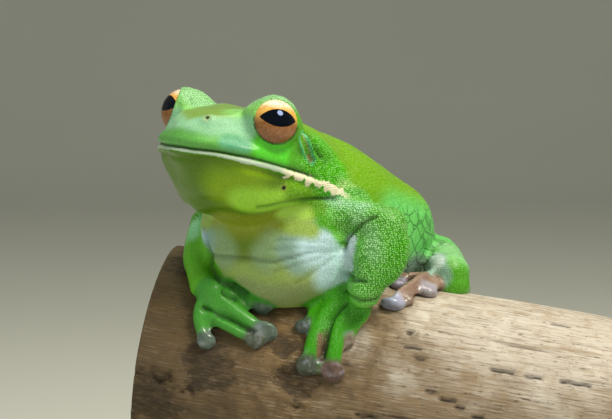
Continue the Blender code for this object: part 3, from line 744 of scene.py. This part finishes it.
# Brown along the left fingers' edges and pale beside the last one.
FINGER_PAINT = (
    ("branch", "#6A5040", 0.2, 1.6, ((5.6, 54, 2.6), (5.7, 66, 1.5))),
    ("branch", "#8A6A58", 0.1, 1.3, ((4.6, 56.4, 3.5), (4.9, 63.9, 1.8))),
    ("branch", "#C9A08C", 0.4, 1.1, ((15.8, 36, 3), (14.5, 43, 2.4), (11.8, 50, 2.2),
                                     (10.8, 56, 2), (10.6, 62, 1.2))),
)
# Round the ears, and the painted shade round the lower lids where they meet the eyes: colour, the
# two reaches and, where thinned, by how much.
EAR_PAINT = {"rim": ("#52D894", 0.1, 0.5), "drum": ("#C8A088", 0.05, 0.35, 0.4),
             "lower end": ("#E0A494", 0.1, 0.8, 0.7)}
DRUM_INSIDE_RIM = 0.5
LID_SHADE = ("#3C6420", 0.3, 2.2)


def linear(code):
    """An sRGB hex colour as linear red, green and blue."""
    parts = [int(code[i:i + 2], 16) / 255.0 for i in (1, 3, 5)]
    return tuple(p / 12.92 if p <= 0.04045 else ((p + 0.055) / 1.055) ** 2.4 for p in parts)


def keep_values(thing, kind, **named):
    """Keep values for each point of a mesh, for its material to read by name."""
    field = {"FLOAT": "value", "FLOAT_VECTOR": "vector", "FLOAT_COLOR": "color"}[kind]
    for name, values in named.items():
        made = thing.data.attributes.new(name, kind, "POINT")
        made.data.foreach_set(field, np.ascontiguousarray(values, np.float32).ravel())


points = points_of(skin)
face = in_head(points)
tint = np.tile(linear(BASE_GREEN), (len(points), 1))


def patches(table):
    """Each patch on each side: the distance from it, its value and reaches, and its limits."""
    for where, value, full, edge, places in table:
        within = below if where in ("chin", "left_jaw_light") else 1.0
        for line in placed_lines(where, places):
            yield distance_to(points, line), value, full, edge, within


def spray(distance, code, full, edge, within=1.0):
    """Paint that is full to one distance and gone at the other, thinned by within."""
    weight = (smooth_step(edge, full, distance) * within)[:, None]
    tint[:] = tint * (1.0 - weight) + np.array(linear(code)) * weight


# The chin and the left jaw's painted light lie below the mouth line, and all round behind its
# corners.
below = smooth_step(-0.6, -1.8, mouth_height(face)) + smooth_step(-26.0, -30.0, face[:, 1])
below = np.minimum(below, 1.0)
for patch in patches(PAINT):
    spray(*patch)
for pad in pads:
    if pad["kind"] == "hand":
        spray(distance_to(points, pad["line"]), HAND_PAINT[pad["side"]], *HAND_REACH)
    else:
        spray(distance_to(points, pad["line"][1:]), TOE_PAINT, *TOE_REACH)
for patch in patches(FINGER_PAINT):
    spray(*patch)
for kind_and_side, codes in PAD_PAINT.items():
    chosen = [pad for pad in pads if (pad["kind"], pad["side"]) == kind_and_side]
    for pad, code in zip(chosen, codes):
        full, edge = 0.9 * pad["radius"], pad["radius"] + 1.0
        spray(away_from(points, pad["centre"]), code, full, edge)
for line in [line for name, line in drawn if name == "ear"]:
    from_rim = distance_to(points, line) - EAR_WIDTH
    spray(np.abs(from_rim), *EAR_PAINT["rim"])
    spray(np.abs(from_rim + DRUM_INSIDE_RIM), *EAR_PAINT["drum"])
    spray(distance_to(points, line[-2:]), *EAR_PAINT["lower end"])
# Painted shade along the lower rim of each lid, where it meets the eye.
under_eye = smooth_step(1.5, -1.0, face[:, 2])
spray(eye_angle - LID_ANGLE, *LID_SHADE, under_eye)

# How grainy the skin is, which also sets how strong the granules' painted highlight and shade
# are, as patches like the paint's, and the flank's line of cracked skin, whose heights are
# flattened to make it a broad band.
SMOOTH_GRAIN = 0.3
GRAIN = (
    ("body", 0.12, 12, 20, ((0, -27, 96), (0, -27, 84), (0, 0, 76))),
    ("head", 0.08, 8, 13, ((0, 10, -12), (10, 5, -14), (0, -4, -20))),
    ("head", 0.1, 4, 8, ((3, 12, -4), (12, 6, -4), (17, -3, -6))),
    ("head", 0.85, 4, 7, ((10, 0, 5), (13, -1, 5))),
    ("head", 0.9, 4, 9, ((20, -14, -5), (20, -20, -9))),
    ("body", 1, 5, 8, ((16, -12, 101), (24, -12, 100), (31, -12, 97), (29, -15, 86))),
)
FLANK = ((24.0, 2.0, 74.0), (24.5, 12.0, 72.5), (23.0, 22.0, 71.0))
FLANK_FLATTENED = (1.0, 1.0, 0.8)

grain = np.full(len(points), SMOOTH_GRAIN)
for distance, strength, full, edge, _ in patches(GRAIN):
    weight = smooth_step(edge, full, distance)
    grain = grain * (1.0 - weight) + strength * weight
# Painted shade darkens the skin in its creases and under the rim of each eye; the skin is moist
# and smooth on the pads.
folded = smooth_step(LID_ANGLE + 2.5, LID_ANGLE + 0.5, eye_angle) * under_eye
folded = np.maximum(folded, creased)
moist = np.zeros(len(points))
for pad in pads:
    from_pad = away_from(points, pad["centre"]) - pad["radius"]
    moist = np.maximum(moist, smooth_step(2.0, 0.0, from_pad))
    grain *= smooth_step(0.0, 4.0, from_pad)
flank = smooth_step(9.0, 5.0, distance_to(both_sides * np.array(FLANK_FLATTENED), FLANK))
flank *= smooth_step(28.5, 26.0, both_sides[:, 0])
keep_values(skin, "FLOAT_COLOR", tint=np.column_stack([tint, np.ones(len(tint))]))
keep_values(skin, "FLOAT_VECTOR", lip=np.column_stack([face[:, :2], mouth_height(face)]))
keep_values(skin, "FLOAT", grain=grain, folded=folded, moist=moist, flank=flank,
            lip_zone=lip_zone * outer)



def new_material(name):
    made = bpy.data.materials.new(name)
    made.use_nodes = True
    made.node_tree.nodes.clear()
    return made, made.node_tree


# The settings that every node of a kind has here.
USUAL = {"MapRange": {"interpolation_type": "SMOOTHSTEP"}, "Mix": {"data_type": "RGBA"}}


def add(kind, *values, output=None, **named):
    """A new shader node in tree, and the output asked for or else the first that it has in use.
    Its inputs, in order or by name, are numbers, hex colours and outputs of other nodes."""
    made = tree.nodes.new("ShaderNode" + kind)
    for name, value in {**USUAL.get(kind, {}), **named}.items():
        if hasattr(made, name):
            setattr(made, name, value)
    fed = list(zip([socket for socket in made.inputs if socket.enabled], values))
    fed += [(made.inputs[name.replace("_", " ")], value) for name, value in named.items()
            if not hasattr(made, name)]
    for socket, value in fed:
        if isinstance(value, bpy.types.NodeSocket):
            tree.links.new(value, socket)
        else:
            socket.default_value = (*linear(value), 1.0) if isinstance(value, str) else value
    if output:
        return made.outputs[output]
    return next((socket for socket in made.outputs if socket.enabled), None)


def layered(colour, *layers):
    """A colour under thin layers: where each lies, its strength, its colour and how it blends.
    Where is a share of 0 to 1, or a value with those at which the layer starts and is full."""
    for where, strength, code, *blend in layers:
        if isinstance(where, tuple):
            where = add("MapRange", *where)
        share = add("Math", where, strength, operation="MULTIPLY")
        colour = add("Mix", share, colour, code, blend_type=blend[0] if blend else "MIX")
    return colour


# Frog skin: moist and finely granular, with a painted highlight on each granule's tip and painted
# shade in the valley round it.
# Behind the arm it is cracked into larger plates, and one dark mole sits on the throat.
GRANULE = 0.5
PLATE = 3.2
MOLE = (14.4, -32.6, 107.9)

skin_material, tree = new_material("frog_skin")
place = add("VectorMath", add("TexCoord", output="Object"), 1.0 / MM, operation="SCALE")
granular, folds, wet, cracked, in_lip_zone = [
    add("Attribute", attribute_name=name, output="Fac")
    for name in ("grain", "folded", "moist", "flank", "lip_zone")]
granule = add("TexVoronoi", place, Scale=1.0 / GRANULE, Randomness=0.55)
dome = add("MapRange", granule, 0.62, 0.12)
cloud = add("TexNoise", place, Scale=0.22, Detail=4.0)
speckle = add("TexNoise", place, Scale=1.6, Detail=3.0)
plates = add("TexVoronoi", place, Scale=1.0 / PLATE, feature="DISTANCE_TO_EDGE")
seam = add("MapRange", plates, 0.09, 0.02, 0.0, cracked)
base = layered(
    add("Attribute", attribute_name="tint"),
    ((cloud, 0.4, 0.75), 0.12, "#9BC23A", "SOFT_LIGHT"),
    ((speckle, 0.35, 0.7), 0.12, "#3E6A10", "MULTIPLY"),
    # Painted shade in the valleys between granules and a painted highlight on their tips.
    ((dome, 0.35, 0.0, 0.0, granular), 0.62, "#2F6B12", "MULTIPLY"),
    ((dome, 0.4, 0.95, 0.0, granular), 0.31, "#DDF2DC"),
    # Painted shade in the creases and under the rim of each eye.
    (folds, 0.62, "#35501A", "MULTIPLY"),
    (seam, 0.5, "#2F6B12", "MULTIPLY"),
)
# Painted shade fills each nostril's pit inside a brownish ring; the mole is the frog's own dark
# mark.
for spot, reach, code in ((MOLE, 0.5, "#15160A"),
                          (from_head(*NOSTRIL["left"]), 0.6, "#3E3D16"),
                          (from_head(*NOSTRIL["right"]), 0.6, "#3E3D16")):
    away = add("VectorMath", place, tuple(spot), operation="DISTANCE")
    base = layered(base, ((away, reach * 2.6, reach * 1.4), 0.3, "#9C8F4A"),
                   ((away, reach * 1.2, reach * 0.8), 1.0, code))

# The white line of the lip, ragged where it runs back past the corner of the mouth, and painted
# shade in the slit of the mouth. The lip's own places are across, along and above the mouth line.
lip = add("Attribute", attribute_name="lip", output="Vector")
along_lip, above_lip = add("SeparateXYZ", lip).node.outputs[1:]
ragged = add("MapRange", along_lip, -1.0, -6.0)
tear = add("Math", add("TexNoise", lip, Scale=0.55, Detail=3.0), 0.5, operation="SUBTRACT")
swing = add("Math", tear, add("MapRange", ragged, 0.0, 1.0, 0.9, 3.6), operation="MULTIPLY")
edge = add("Math", above_lip, swing, operation="ADD")
thin = add("MapRange", along_lip, 13.0, 4.0, -1.0, -1.5)
lower = add("MapRange", ragged, 0.0, 1.0, thin, -2.0)
upper = add("MapRange", ragged, 0.0, 1.0, -0.3, -0.2)
band = add("MapRange", add("Math", edge, lower, operation="SUBTRACT"), -0.12, 0.12, 0.0,
           in_lip_zone)
band = add("MapRange", add("Math", upper, edge, operation="SUBTRACT"), -0.12, 0.12, 0.0, band)
# Painted shade along the mouth's slit.
slit = add("MapRange", along_lip, -17.0, -11.0, 0.0, in_lip_zone)
slit = add("MapRange", add("Math", above_lip, operation="ABSOLUTE"), 0.5, 0.1, 0.0, slit)
# The pads are slippery, and mottled dark and pale.
mottle = add("TexNoise", place, Scale=0.55, Detail=3.0)
base = layered(
    base,
    (band, 1.0, layered("#B4C8B0", (ragged, 1.0, "#F2EBCB"))),
    (slit, 0.8, "#2B3A1C"),
    ((mottle, 0.5, 0.68, 0.0, wet), 0.35, "#A9AEBC"),
    ((mottle, 0.48, 0.34, 0.0, wet), 0.35, "#2C2A26"),
)
rough_skin = add("Math", speckle, 0.25, operation="MULTIPLY")
relief = add("Math", dome, granular, rough_skin, operation="MULTIPLY_ADD")
relief = add("Math", relief, seam, operation="SUBTRACT")
shader = add("BsdfPrincipled", Base_Color=base, Roughness=0.36, IOR=1.36, Coat_Roughness=0.18,
             Coat_Weight=add("MapRange", wet, 0.0, 1.0, 0.08, 0.8), Subsurface_Weight=0.06,
             Subsurface_Radius=(0.6, 0.9, 0.3), Subsurface_Scale=0.8 * MM,
             Normal=add("Bump", Height=relief, Strength=0.9, Distance=0.2 * MM))
add("OutputMaterial", shader)
skin.data.materials.append(skin_material)
skin.data.shade_smooth()
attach(skin, "root")
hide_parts(*FLESH)

# ----------------------------------------------------------------------
# The eyes. Each is a glassy ball with a golden iris and a wide black pupil, pointed at both
# ends. A museum model has them blown in glass and painted from behind.

PUPIL_HALF = (4.3, 2.05)
PUPIL_RISE = 0.35
# How far each pupil is tilted, and turned forward from where its lid opens, in degrees.
PUPIL_TILT = {"left": -6.0, "right": -4.0}
PUPIL_FORWARD = {"left": -1.0, "right": 22.0}

# Blown glass, wet and clear: a threaded golden iris, pale above and dark at its rim. The pale
# top of the iris is partly its own colour and partly a painted reflection of the light overhead.
eye_material, tree = new_material("glass_eye")
pattern = add("Attribute", attribute_name="look", output="Vector")
beside, above = add("SeparateXYZ", pattern).node.outputs[:2]
half_width, half_height = PUPIL_HALF
lens_radius = (half_width ** 2 + half_height ** 2) / (2.0 * half_height)
from_middle = add("Math", add("Math", above, PUPIL_RISE, operation="SUBTRACT"),
                  operation="ABSOLUTE")
lens_shift = add("Math", from_middle, lens_radius - half_height, operation="ADD")
lens, ring = [add("VectorMath", add("CombineXYZ", beside, height), operation="LENGTH")
              for height in (lens_shift, above)]
thread = add("TexNoise", pattern, Scale=1.5, Detail=6.0, Distortion=1.2)
iris = layered(
    "#A0713F",
    ((above, -1.2, 1.6), 1.0, "#F0BE5C"),
    # Partly painted reflection: the near-white top of the iris.
    ((above, 2.2, 4.2), 1.0, "#FFF1D2"),
    ((thread, 0.35, 0.7), 0.5, "#B06A2C", "MULTIPLY"),
    ((ring, 4.9, 5.35), 0.85, "#3A2410"),
    ((lens, lens_radius + 0.06, lens_radius - 0.06), 1.0, "#020203"),
)
add("OutputMaterial",
    add("BsdfPrincipled", Base_Color=iris, Roughness=0.05, Specular_Tint="#A9C4FF"))

for side, sign in SIDES.items():
    bpy.ops.mesh.primitive_uv_sphere_add(segments=64, ring_count=32, radius=EYE_RADIUS * MM)
    eye = bpy.context.object
    eye.name = f"eyeball_{side}"
    ahead = Matrix.Rotation(math.radians(PUPIL_FORWARD[side]) * -sign, 3, head_crown)
    look = ahead @ gaze[side]
    across = look.cross(head_crown).normalized()
    upright = across.cross(look).normalized()
    tilt = math.radians(PUPIL_TILT[side]) * sign
    turned = across * math.cos(tilt) + upright * math.sin(tilt)
    axes = np.array([turned, turned.cross(look), look])
    keep_values(eye, "FLOAT_VECTOR", look=points_of(eye) @ axes.T)
    eye.data.transform(Matrix.Translation(eye_centre[side] * MM))
    eye.data.shade_smooth()
    eye.data.materials.append(eye_material)
    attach(eye, "root")
    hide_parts(f"eye_{side}")

# ----------------------------------------------------------------------
# The branch. A cut length of barkless driftwood, bleached pale at its high, outer end and dark
# with rot at the low one: fine grain along it, drying cracks, beetle slots and knots.

BRANCH_START = -39.0
BRANCH_END = 78.0
BRANCH_MESH = 0.54
END_CHAMFER = 0.9
END_RINGS = 24
END_HOLLOW = 0.8
# Slots and knots are (along, angle, length or radius); a slot runs along the grain. Hollows
# of rot are (along, angle, radius, depth).
SLOTS = ((45.5, 55.5, 5), (53.9, 55.8, 3), (62, 55.3, 6.4), (31.4, 70.8, 1.8),
         (35, 73.6, 3.2), (38.8, 76, 1.6), (43, 79, 2.2), (24.7, 51.4, 3.4),
         (27.5, 56, 2), (58, 20, 4), (16, 88, 5), (66, 84, 7))
SLOT_WIDTH = 0.4
SLOT_DEPTH = 0.6
KNOTS = ((24.9, 43.8, 1.5), (12, -70, 3.4), (48, 130, 4.2), (-20, 118, 3))
HOLLOWS = ((-4, 62, 5.5, 1.5), (0.5, 76, 7, 1.6), (-21, 78, 9, 1.4),
           (-30, 20, 8, 1), (-34, 100, 9, 1.2), (-28, -60, 9, 1.4))
CRACKS = 46
CRACK_WIDTH = 0.3
# Drying checks on the cut ends, as angles, and what the bark may rise and sink, also at a pad.
END_CHECKS = (14.0, 66.0, 131.0, 197.0, 239.0, 301.0)
BARK_RANGE = (-2.2, 0.6)
PAD_RANGE = (-0.15, 0.3)

seeded = np.random.default_rng(8)
around = round(2.0 * math.pi * BRANCH_RADIUS / BRANCH_MESH)
lengthways = round((BRANCH_END - BRANCH_START) / BRANCH_MESH)
cap = [i / END_RINGS for i in range(1, END_RINGS)]
bark = BRANCH_END - BRANCH_START - 2.0 * END_CHAMFER
profile = [(share, BRANCH_START) for share in cap]
profile += [(1.0, BRANCH_START + END_CHAMFER + bark * i / lengthways)
            for i in range(lengthways + 1)]
profile += [(share, BRANCH_END) for share in reversed(cap)]
share, along = np.repeat(np.array(profile).T, around, axis=1)
angle = np.tile(np.arange(around) * 2.0 * math.pi / around, len(profile))


def arc_from(degrees):
    """Distance round the bark from an angle, in millimetres."""
    away = (angle - math.radians(degrees) + math.pi) % (2.0 * math.pi) - math.pi
    return away * BRANCH_RADIUS


def rough(scale_along, scale_across, octaves):
    """Natural unevenness with features of these sizes along and across the branch."""
    spots = zip(along / scale_along, np.cos(angle) * share * BRANCH_RADIUS / scale_across,
                np.sin(angle) * share * BRANCH_RADIUS / scale_across)
    return np.array([noise.fractal(spot, 0.9, 2.0, octaves) for spot in spots])


def about_axis(along, radius):
    """The places at each angle that lie so far along the branch and from its axis."""
    return (np.outer(along, branch_axis) + np.outer(np.sin(angle) * radius, branch_front)
            + np.outer(np.cos(angle) * radius, branch_upper) + np.array(BRANCH_CENTRE))


# The whole log is a little out of round, wavy and grained, before anything is cut into it.
lift = 0.35 * np.sin(2.0 * angle + 0.7) + 0.25 * np.sin(3.0 * angle + along / 19.0)
lift += 0.22 * rough(26.0, 7.0, 3) + 0.06 * rough(40.0, 0.9, 2)
dark = np.zeros(len(along))
for spot, degrees, length in SLOTS:
    beyond = np.maximum(np.abs(along - spot - length / 2.0) - length / 2.0, 0.0)
    hit = mark(np.hypot(beyond, arc_from(degrees) + 0.14 * np.sin(along * 1.7)), SLOT_WIDTH)
    lift -= SLOT_DEPTH * hit
    dark = np.maximum(dark, hit)
for i in range(CRACKS):
    spot = seeded.uniform(BRANCH_START, BRANCH_END - 6.0)
    length = seeded.uniform(5.0, 26.0)
    degrees = seeded.uniform(-180.0, 180.0)
    wander = seeded.uniform(0.2, 0.7) * np.sin(along / seeded.uniform(2.5, 6.0) + i)
    middle = np.clip((along - spot) / length, 0.0, 1.0)
    hit = mark(arc_from(degrees) + wander, CRACK_WIDTH) * np.sin(math.pi * middle)
    lift -= seeded.uniform(0.25, 0.6) * hit
    dark = np.maximum(dark, 0.7 * hit)
for spot, degrees, radius in KNOTS:
    away = np.hypot((along - spot) * 0.8, arc_from(degrees))
    lift += 0.3 * mark(away - radius, 0.7) - 0.8 * mark(away, 0.5 * radius)
    dark = np.maximum(dark, 0.8 * mark(away, 0.45 * radius))
decay = rough(6.0, 4.0, 5)
rot = np.zeros(len(along))
for spot, degrees, radius, depth in HOLLOWS:
    away = np.hypot(along - spot, arc_from(degrees)) * (1.0 + 0.6 * decay)
    hollow = smooth_step(radius, radius * 0.45, away)
    rot = np.maximum(rot, hollow)
    lift -= hollow * (depth * 0.5 + 0.5 * np.abs(decay))
spots = about_axis(along, BRANCH_RADIUS)
from_pads = np.min([np.linalg.norm(spots - pad["centre"], axis=1) for pad in pads], axis=0)
resting = smooth_step(6.5, 3.5, from_pads)
lift = np.clip(lift * (1.0 - resting) + np.clip(lift, *PAD_RANGE) * resting, *BARK_RANGE)
radius = (BRANCH_RADIUS + lift) * share
year_rings = 0.12 * np.sin(radius * 3.6 + 2.0 * rough(60.0, 9.0, 2))
checks = np.zeros(len(along))
for degrees in END_CHECKS:
    slit = mark(arc_from(degrees + 4.0 * math.sin(degrees)) * share, 0.35)
    checks = np.maximum(checks, slit * smooth_step(0.15, 0.5, share))
on_end = share < 1.0
outward_end = np.where(along > 0.0, 1.0, -1.0)
depth = np.where(on_end, year_rings - 1.3 * checks - END_HOLLOW, 0.0)
places = about_axis(along + outward_end * depth, radius)
middles = [np.array(BRANCH_CENTRE) + np.array(branch_axis) * end
           for end in (BRANCH_START + END_HOLLOW, BRANCH_END - END_HOLLOW)]
turns = [(j, (j + 1) % around) for j in range(around)]
rows = range(0, len(along) - around, around)
faces = [(row + k, row + j, row + around + j, row + around + k) for row in rows for j, k in turns]
top = len(along) - around
faces += [(j, k, len(along)) for j, k in turns]
faces += [(top + k, top + j, len(along) + 1) for j, k in turns]
branch = mesh_of("branch", np.vstack([places, middles]) * MM, faces)
grain_place = np.column_stack([along, np.cos(angle) * radius, np.sin(angle) * radius])
keep_values(branch, "FLOAT", wood_end=np.append(on_end, [1.0, 1.0]),
            hole=np.append(np.maximum(dark, checks * on_end), [1.0, 1.0]),
            rot=np.append(rot, [0.5, 0.0]))
keep_values(branch, "FLOAT_VECTOR", grain_place=np.vstack(
    [grain_place, [[BRANCH_START, 0, 0], [BRANCH_END, 0, 0]]]))

# Driftwood: bleached, dry and matt; brown streaks follow the grain, and rot is nearly black.
# Painted shade darkens the wood towards its underside.
wood_material, tree = new_material("driftwood")
wood_place = add("Attribute", attribute_name="grain_place", output="Vector")
rotten, cut_end, hole = [add("Attribute", attribute_name=name, output="Fac")
                         for name in ("rot", "wood_end", "hole")]
along_wood, down_wood = add("SeparateXYZ", wood_place).node.outputs[:2]
stretched, flecked, across_wood = [
    add("VectorMath", wood_place, stretch, operation="MULTIPLY")
    for stretch in ((0.07, 1.0, 1.0), (0.4, 1.0, 1.0), (0.0, 1.0, 1.0))]
fibre = add("TexNoise", stretched, Scale=2.4, Detail=6.0, Roughness=0.65)
streak = add("TexNoise", stretched, Scale=0.55, Detail=5.0, Distortion=0.8)
patch = add("TexNoise", wood_place, Scale=0.075, Detail=5.0)
blotch = add("TexNoise", wood_place, Scale=0.22, Detail=5.0, Roughness=0.6)
fleck = add("TexNoise", flecked, Scale=1.1, Detail=4.0, Roughness=0.7)
bleach_from = add("Math", along_wood, add("MapRange", patch, 0.3, 0.7, -9.0, 9.0),
                  operation="ADD")
bleach = add("MapRange", bleach_from, 2.0, 30.0)
# Painted shade: darker brown towards the underside, away from the light above.
underside_shade = add("Math", down_wood, add("MapRange", patch, 0.3, 0.7, -4.0, 4.0), operation="ADD")
ragged_rot = add("Math", rotten, add("MapRange", fleck, 0.3, 0.7, -0.45, 0.35), operation="ADD")
swirl = add("MapRange", patch, 0.0, 1.0, 0.0, 9.0)
ring_turn = add("Math", add("VectorMath", across_wood, operation="LENGTH"), 3.2, swirl,
                operation="MULTIPLY_ADD")
end_wood = layered(
    "#9A8260",
    ((add("Math", ring_turn, operation="SINE"), -0.6, 0.9), 1.0, "#C6B594"),
    ((fibre, 0.45, 0.75), 0.5, "#6E5030"),
)
wood = layered(
    "#866A3E",
    (bleach, 1.0, "#C9BFB0"),
    ((patch, 0.45, 0.68, 0.0, bleach), 0.5, "#DCD6CC"),
    ((underside_shade, 21.0, 5.0), 0.85, "#7C6546"),
    ((streak, 0.48, 0.7), 0.6, "#8C7454"),
    ((fibre, 0.48, 0.74), 0.8, "#5F4A30"),
    ((fibre, 0.46, 0.3), 0.4, "#E2DACA"),
    ((bleach_from, 0.0, -22.0), 0.6, "#4E3F28"),
    ((blotch, 0.5, 0.68), 0.4, "#9A805E"),
    ((blotch, 0.46, 0.64, 0.0, add("MapRange", bleach_from, 34.0, 4.0)), 0.55, "#392C1A"),
    ((fleck, 0.57, 0.68), 0.6, "#43331F"),
    ((ragged_rot, 0.2, 1.1), 0.7, "#2C2216"),
    (cut_end, 1.0, end_wood),
    (hole, 1.0, "#1C120B"),
)
wood_relief = add("Math", streak, 0.8, fibre, operation="MULTIPLY_ADD")
bumps = add("Bump", Height=wood_relief, Strength=0.7, Distance=0.5 * MM)
add("OutputMaterial", add("BsdfPrincipled", Base_Color=wood, Roughness=0.72, Normal=bumps))
branch.data.materials.append(wood_material)
branch.data.shade_smooth()
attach(branch, "root")
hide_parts("perch_log")

# ----------------------------------------------------------------------
# The stand. A black lacquered board with rounded corners and two plain steel rods: machined
# and polished parts, so the frame's solids keep their shape and only take their finish.

# Black lacquer: sprayed and rubbed down, so it has a soft gloss and a faint cloudiness.
lacquer, tree = new_material("black_lacquer")
place = add("VectorMath", add("TexCoord", output="Object"), 1.0 / MM, operation="SCALE")
haze = add("TexNoise", place, Scale=0.3, Detail=3.0)
board_colour = layered("#141312", ((haze, 0.35, 0.7), 1.0, "#1C1A19"))
shader = add("BsdfPrincipled", Base_Color=board_colour, Roughness=0.28, Coat_Weight=0.6,
             Coat_Roughness=0.12)
add("OutputMaterial", shader)

# Satin steel: drawn rod, brushed along its length, so it shines softly in faint streaks.
steel, tree = new_material("satin_steel")
place = add("VectorMath", add("TexCoord", output="Object"), 1.0 / MM, operation="SCALE")
drawn_out = add("VectorMath", place, (1.0, 1.0, 0.05), operation="MULTIPLY")
brushed = add("TexNoise", drawn_out, Scale=4.0, Detail=4.0)
steel_colour = layered("#A9ABAE", ((brushed, 0.3, 0.7), 1.0, "#C2C4C6"))
add("OutputMaterial",
    add("BsdfPrincipled", Base_Color=steel_colour, Metallic=1.0, Roughness=0.32))

for name, finish in (("stand_base", lacquer), ("stand_rod_low", steel), ("stand_rod_high", steel)):
    nodes[name].data.materials.clear()
    nodes[name].data.materials.append(finish)


# ----------------------------------------------------------------------
# The studio. Pale paper swept up behind the frog, a round soft key light that shows in its
# eyes, a large soft one overhead and a low fill. The camera looks down slightly on its left.

AZIMUTH = 32.0
ELEVATION = 6.0
LENS = 101.0
DISTANCE = 430.0
TARGET_HEIGHT = 99.2
SWEEP_START = 1000.0
SWEEP_RADIUS = 500.0
SWEEP_REACH = 3000.0
# Each light is its power in watts, its size and its place to the right, front and top of the
# frog, both in metres, and its colour.
LIGHTS = (
    ("key", 2.5, 0.2, (0.24, 0.24, 0.36), "#FFF8EA"),
    ("overhead", 1.3, 0.36, (0.06, -0.06, 0.48), "#FFF8EA"),
    ("fill", 0.8, 0.5, (-0.45, 0.2, -0.02), "#F2F6FF"),
)
SKY = ("#E4E8DC", 0.35)

azimuth = math.radians(AZIMUTH)
elevation = math.radians(ELEVATION)
to_right = Vector((math.cos(azimuth), math.sin(azimuth), 0.0))
flat_back = Vector((math.sin(azimuth), -math.cos(azimuth), 0.0))
to_camera = flat_back * math.cos(elevation) + Vector((0.0, 0.0, math.sin(elevation)))
ground = cad_box[0][2]
sweep = [(-SWEEP_REACH, 0.0), (SWEEP_START, 0.0)]
sweep += [(SWEEP_START + SWEEP_RADIUS * math.sin(math.radians(turn)),
           SWEEP_RADIUS * (1.0 - math.cos(math.radians(turn)))) for turn in range(5, 91, 5)]
sweep += [(SWEEP_START + SWEEP_RADIUS, SWEEP_REACH)]
corners = []
for away, height in sweep:
    for across in (-SWEEP_REACH, SWEEP_REACH):
        spot = to_right * across - flat_back * away
        corners.append((spot + Vector((0.0, 0.0, height))) * MM + Vector((0.0, 0.0, ground)))
backdrop = mesh_of("backdrop", corners, [(i, i + 1, i + 3, i + 2)
                                         for i in range(0, len(corners) - 2, 2)])
backdrop.data.shade_smooth()

# Backdrop paper: matt, uncoated and barely uneven in tone.
paper, tree = new_material("backdrop_paper")
place = add("VectorMath", add("TexCoord", output="Object"), 1.0 / MM, operation="SCALE")
tone = add("TexNoise", place, Scale=0.004, Detail=2.0)
paper_colour = layered("#C9CAC0", (tone, 1.0, "#D3D4CB"))
add("OutputMaterial", add("BsdfPrincipled", Base_Color=paper_colour, Roughness=0.9))
backdrop.data.materials.append(paper)

target = Vector((0.0, 0.0, TARGET_HEIGHT)) * MM
camera = put_in_scene("camera", bpy.data.cameras.new("camera"))
camera.data.lens = LENS
camera.data.sensor_width = 36.0
camera.location = target + to_camera * DISTANCE * MM
camera.rotation_euler = (-to_camera).to_track_quat("-Z", "Y").to_euler()
bpy.context.scene.camera = camera
bpy.context.scene.view_settings.view_transform = "Standard"

for name, power, size, (right, front, height), code in LIGHTS:
    light = put_in_scene(name, bpy.data.lights.new(name, "AREA"))
    light.data.energy = power
    light.data.shape = "DISK"
    light.data.size = size
    light.data.color = linear(code)
    light.location = target + to_right * right + to_camera * front + Vector((0, 0, height))
    light.visible_glossy = name != "fill"
    light.rotation_euler = (target - light.location).to_track_quat("-Z", "Y").to_euler()
world = bpy.data.worlds.new("studio")
world.use_nodes = True
sky = world.node_tree.nodes["Background"]
sky_colour, sky_strength = SKY
sky.inputs["Color"].default_value = (*linear(sky_colour), 1.0)
sky.inputs["Strength"].default_value = sky_strength
bpy.context.scene.world = world
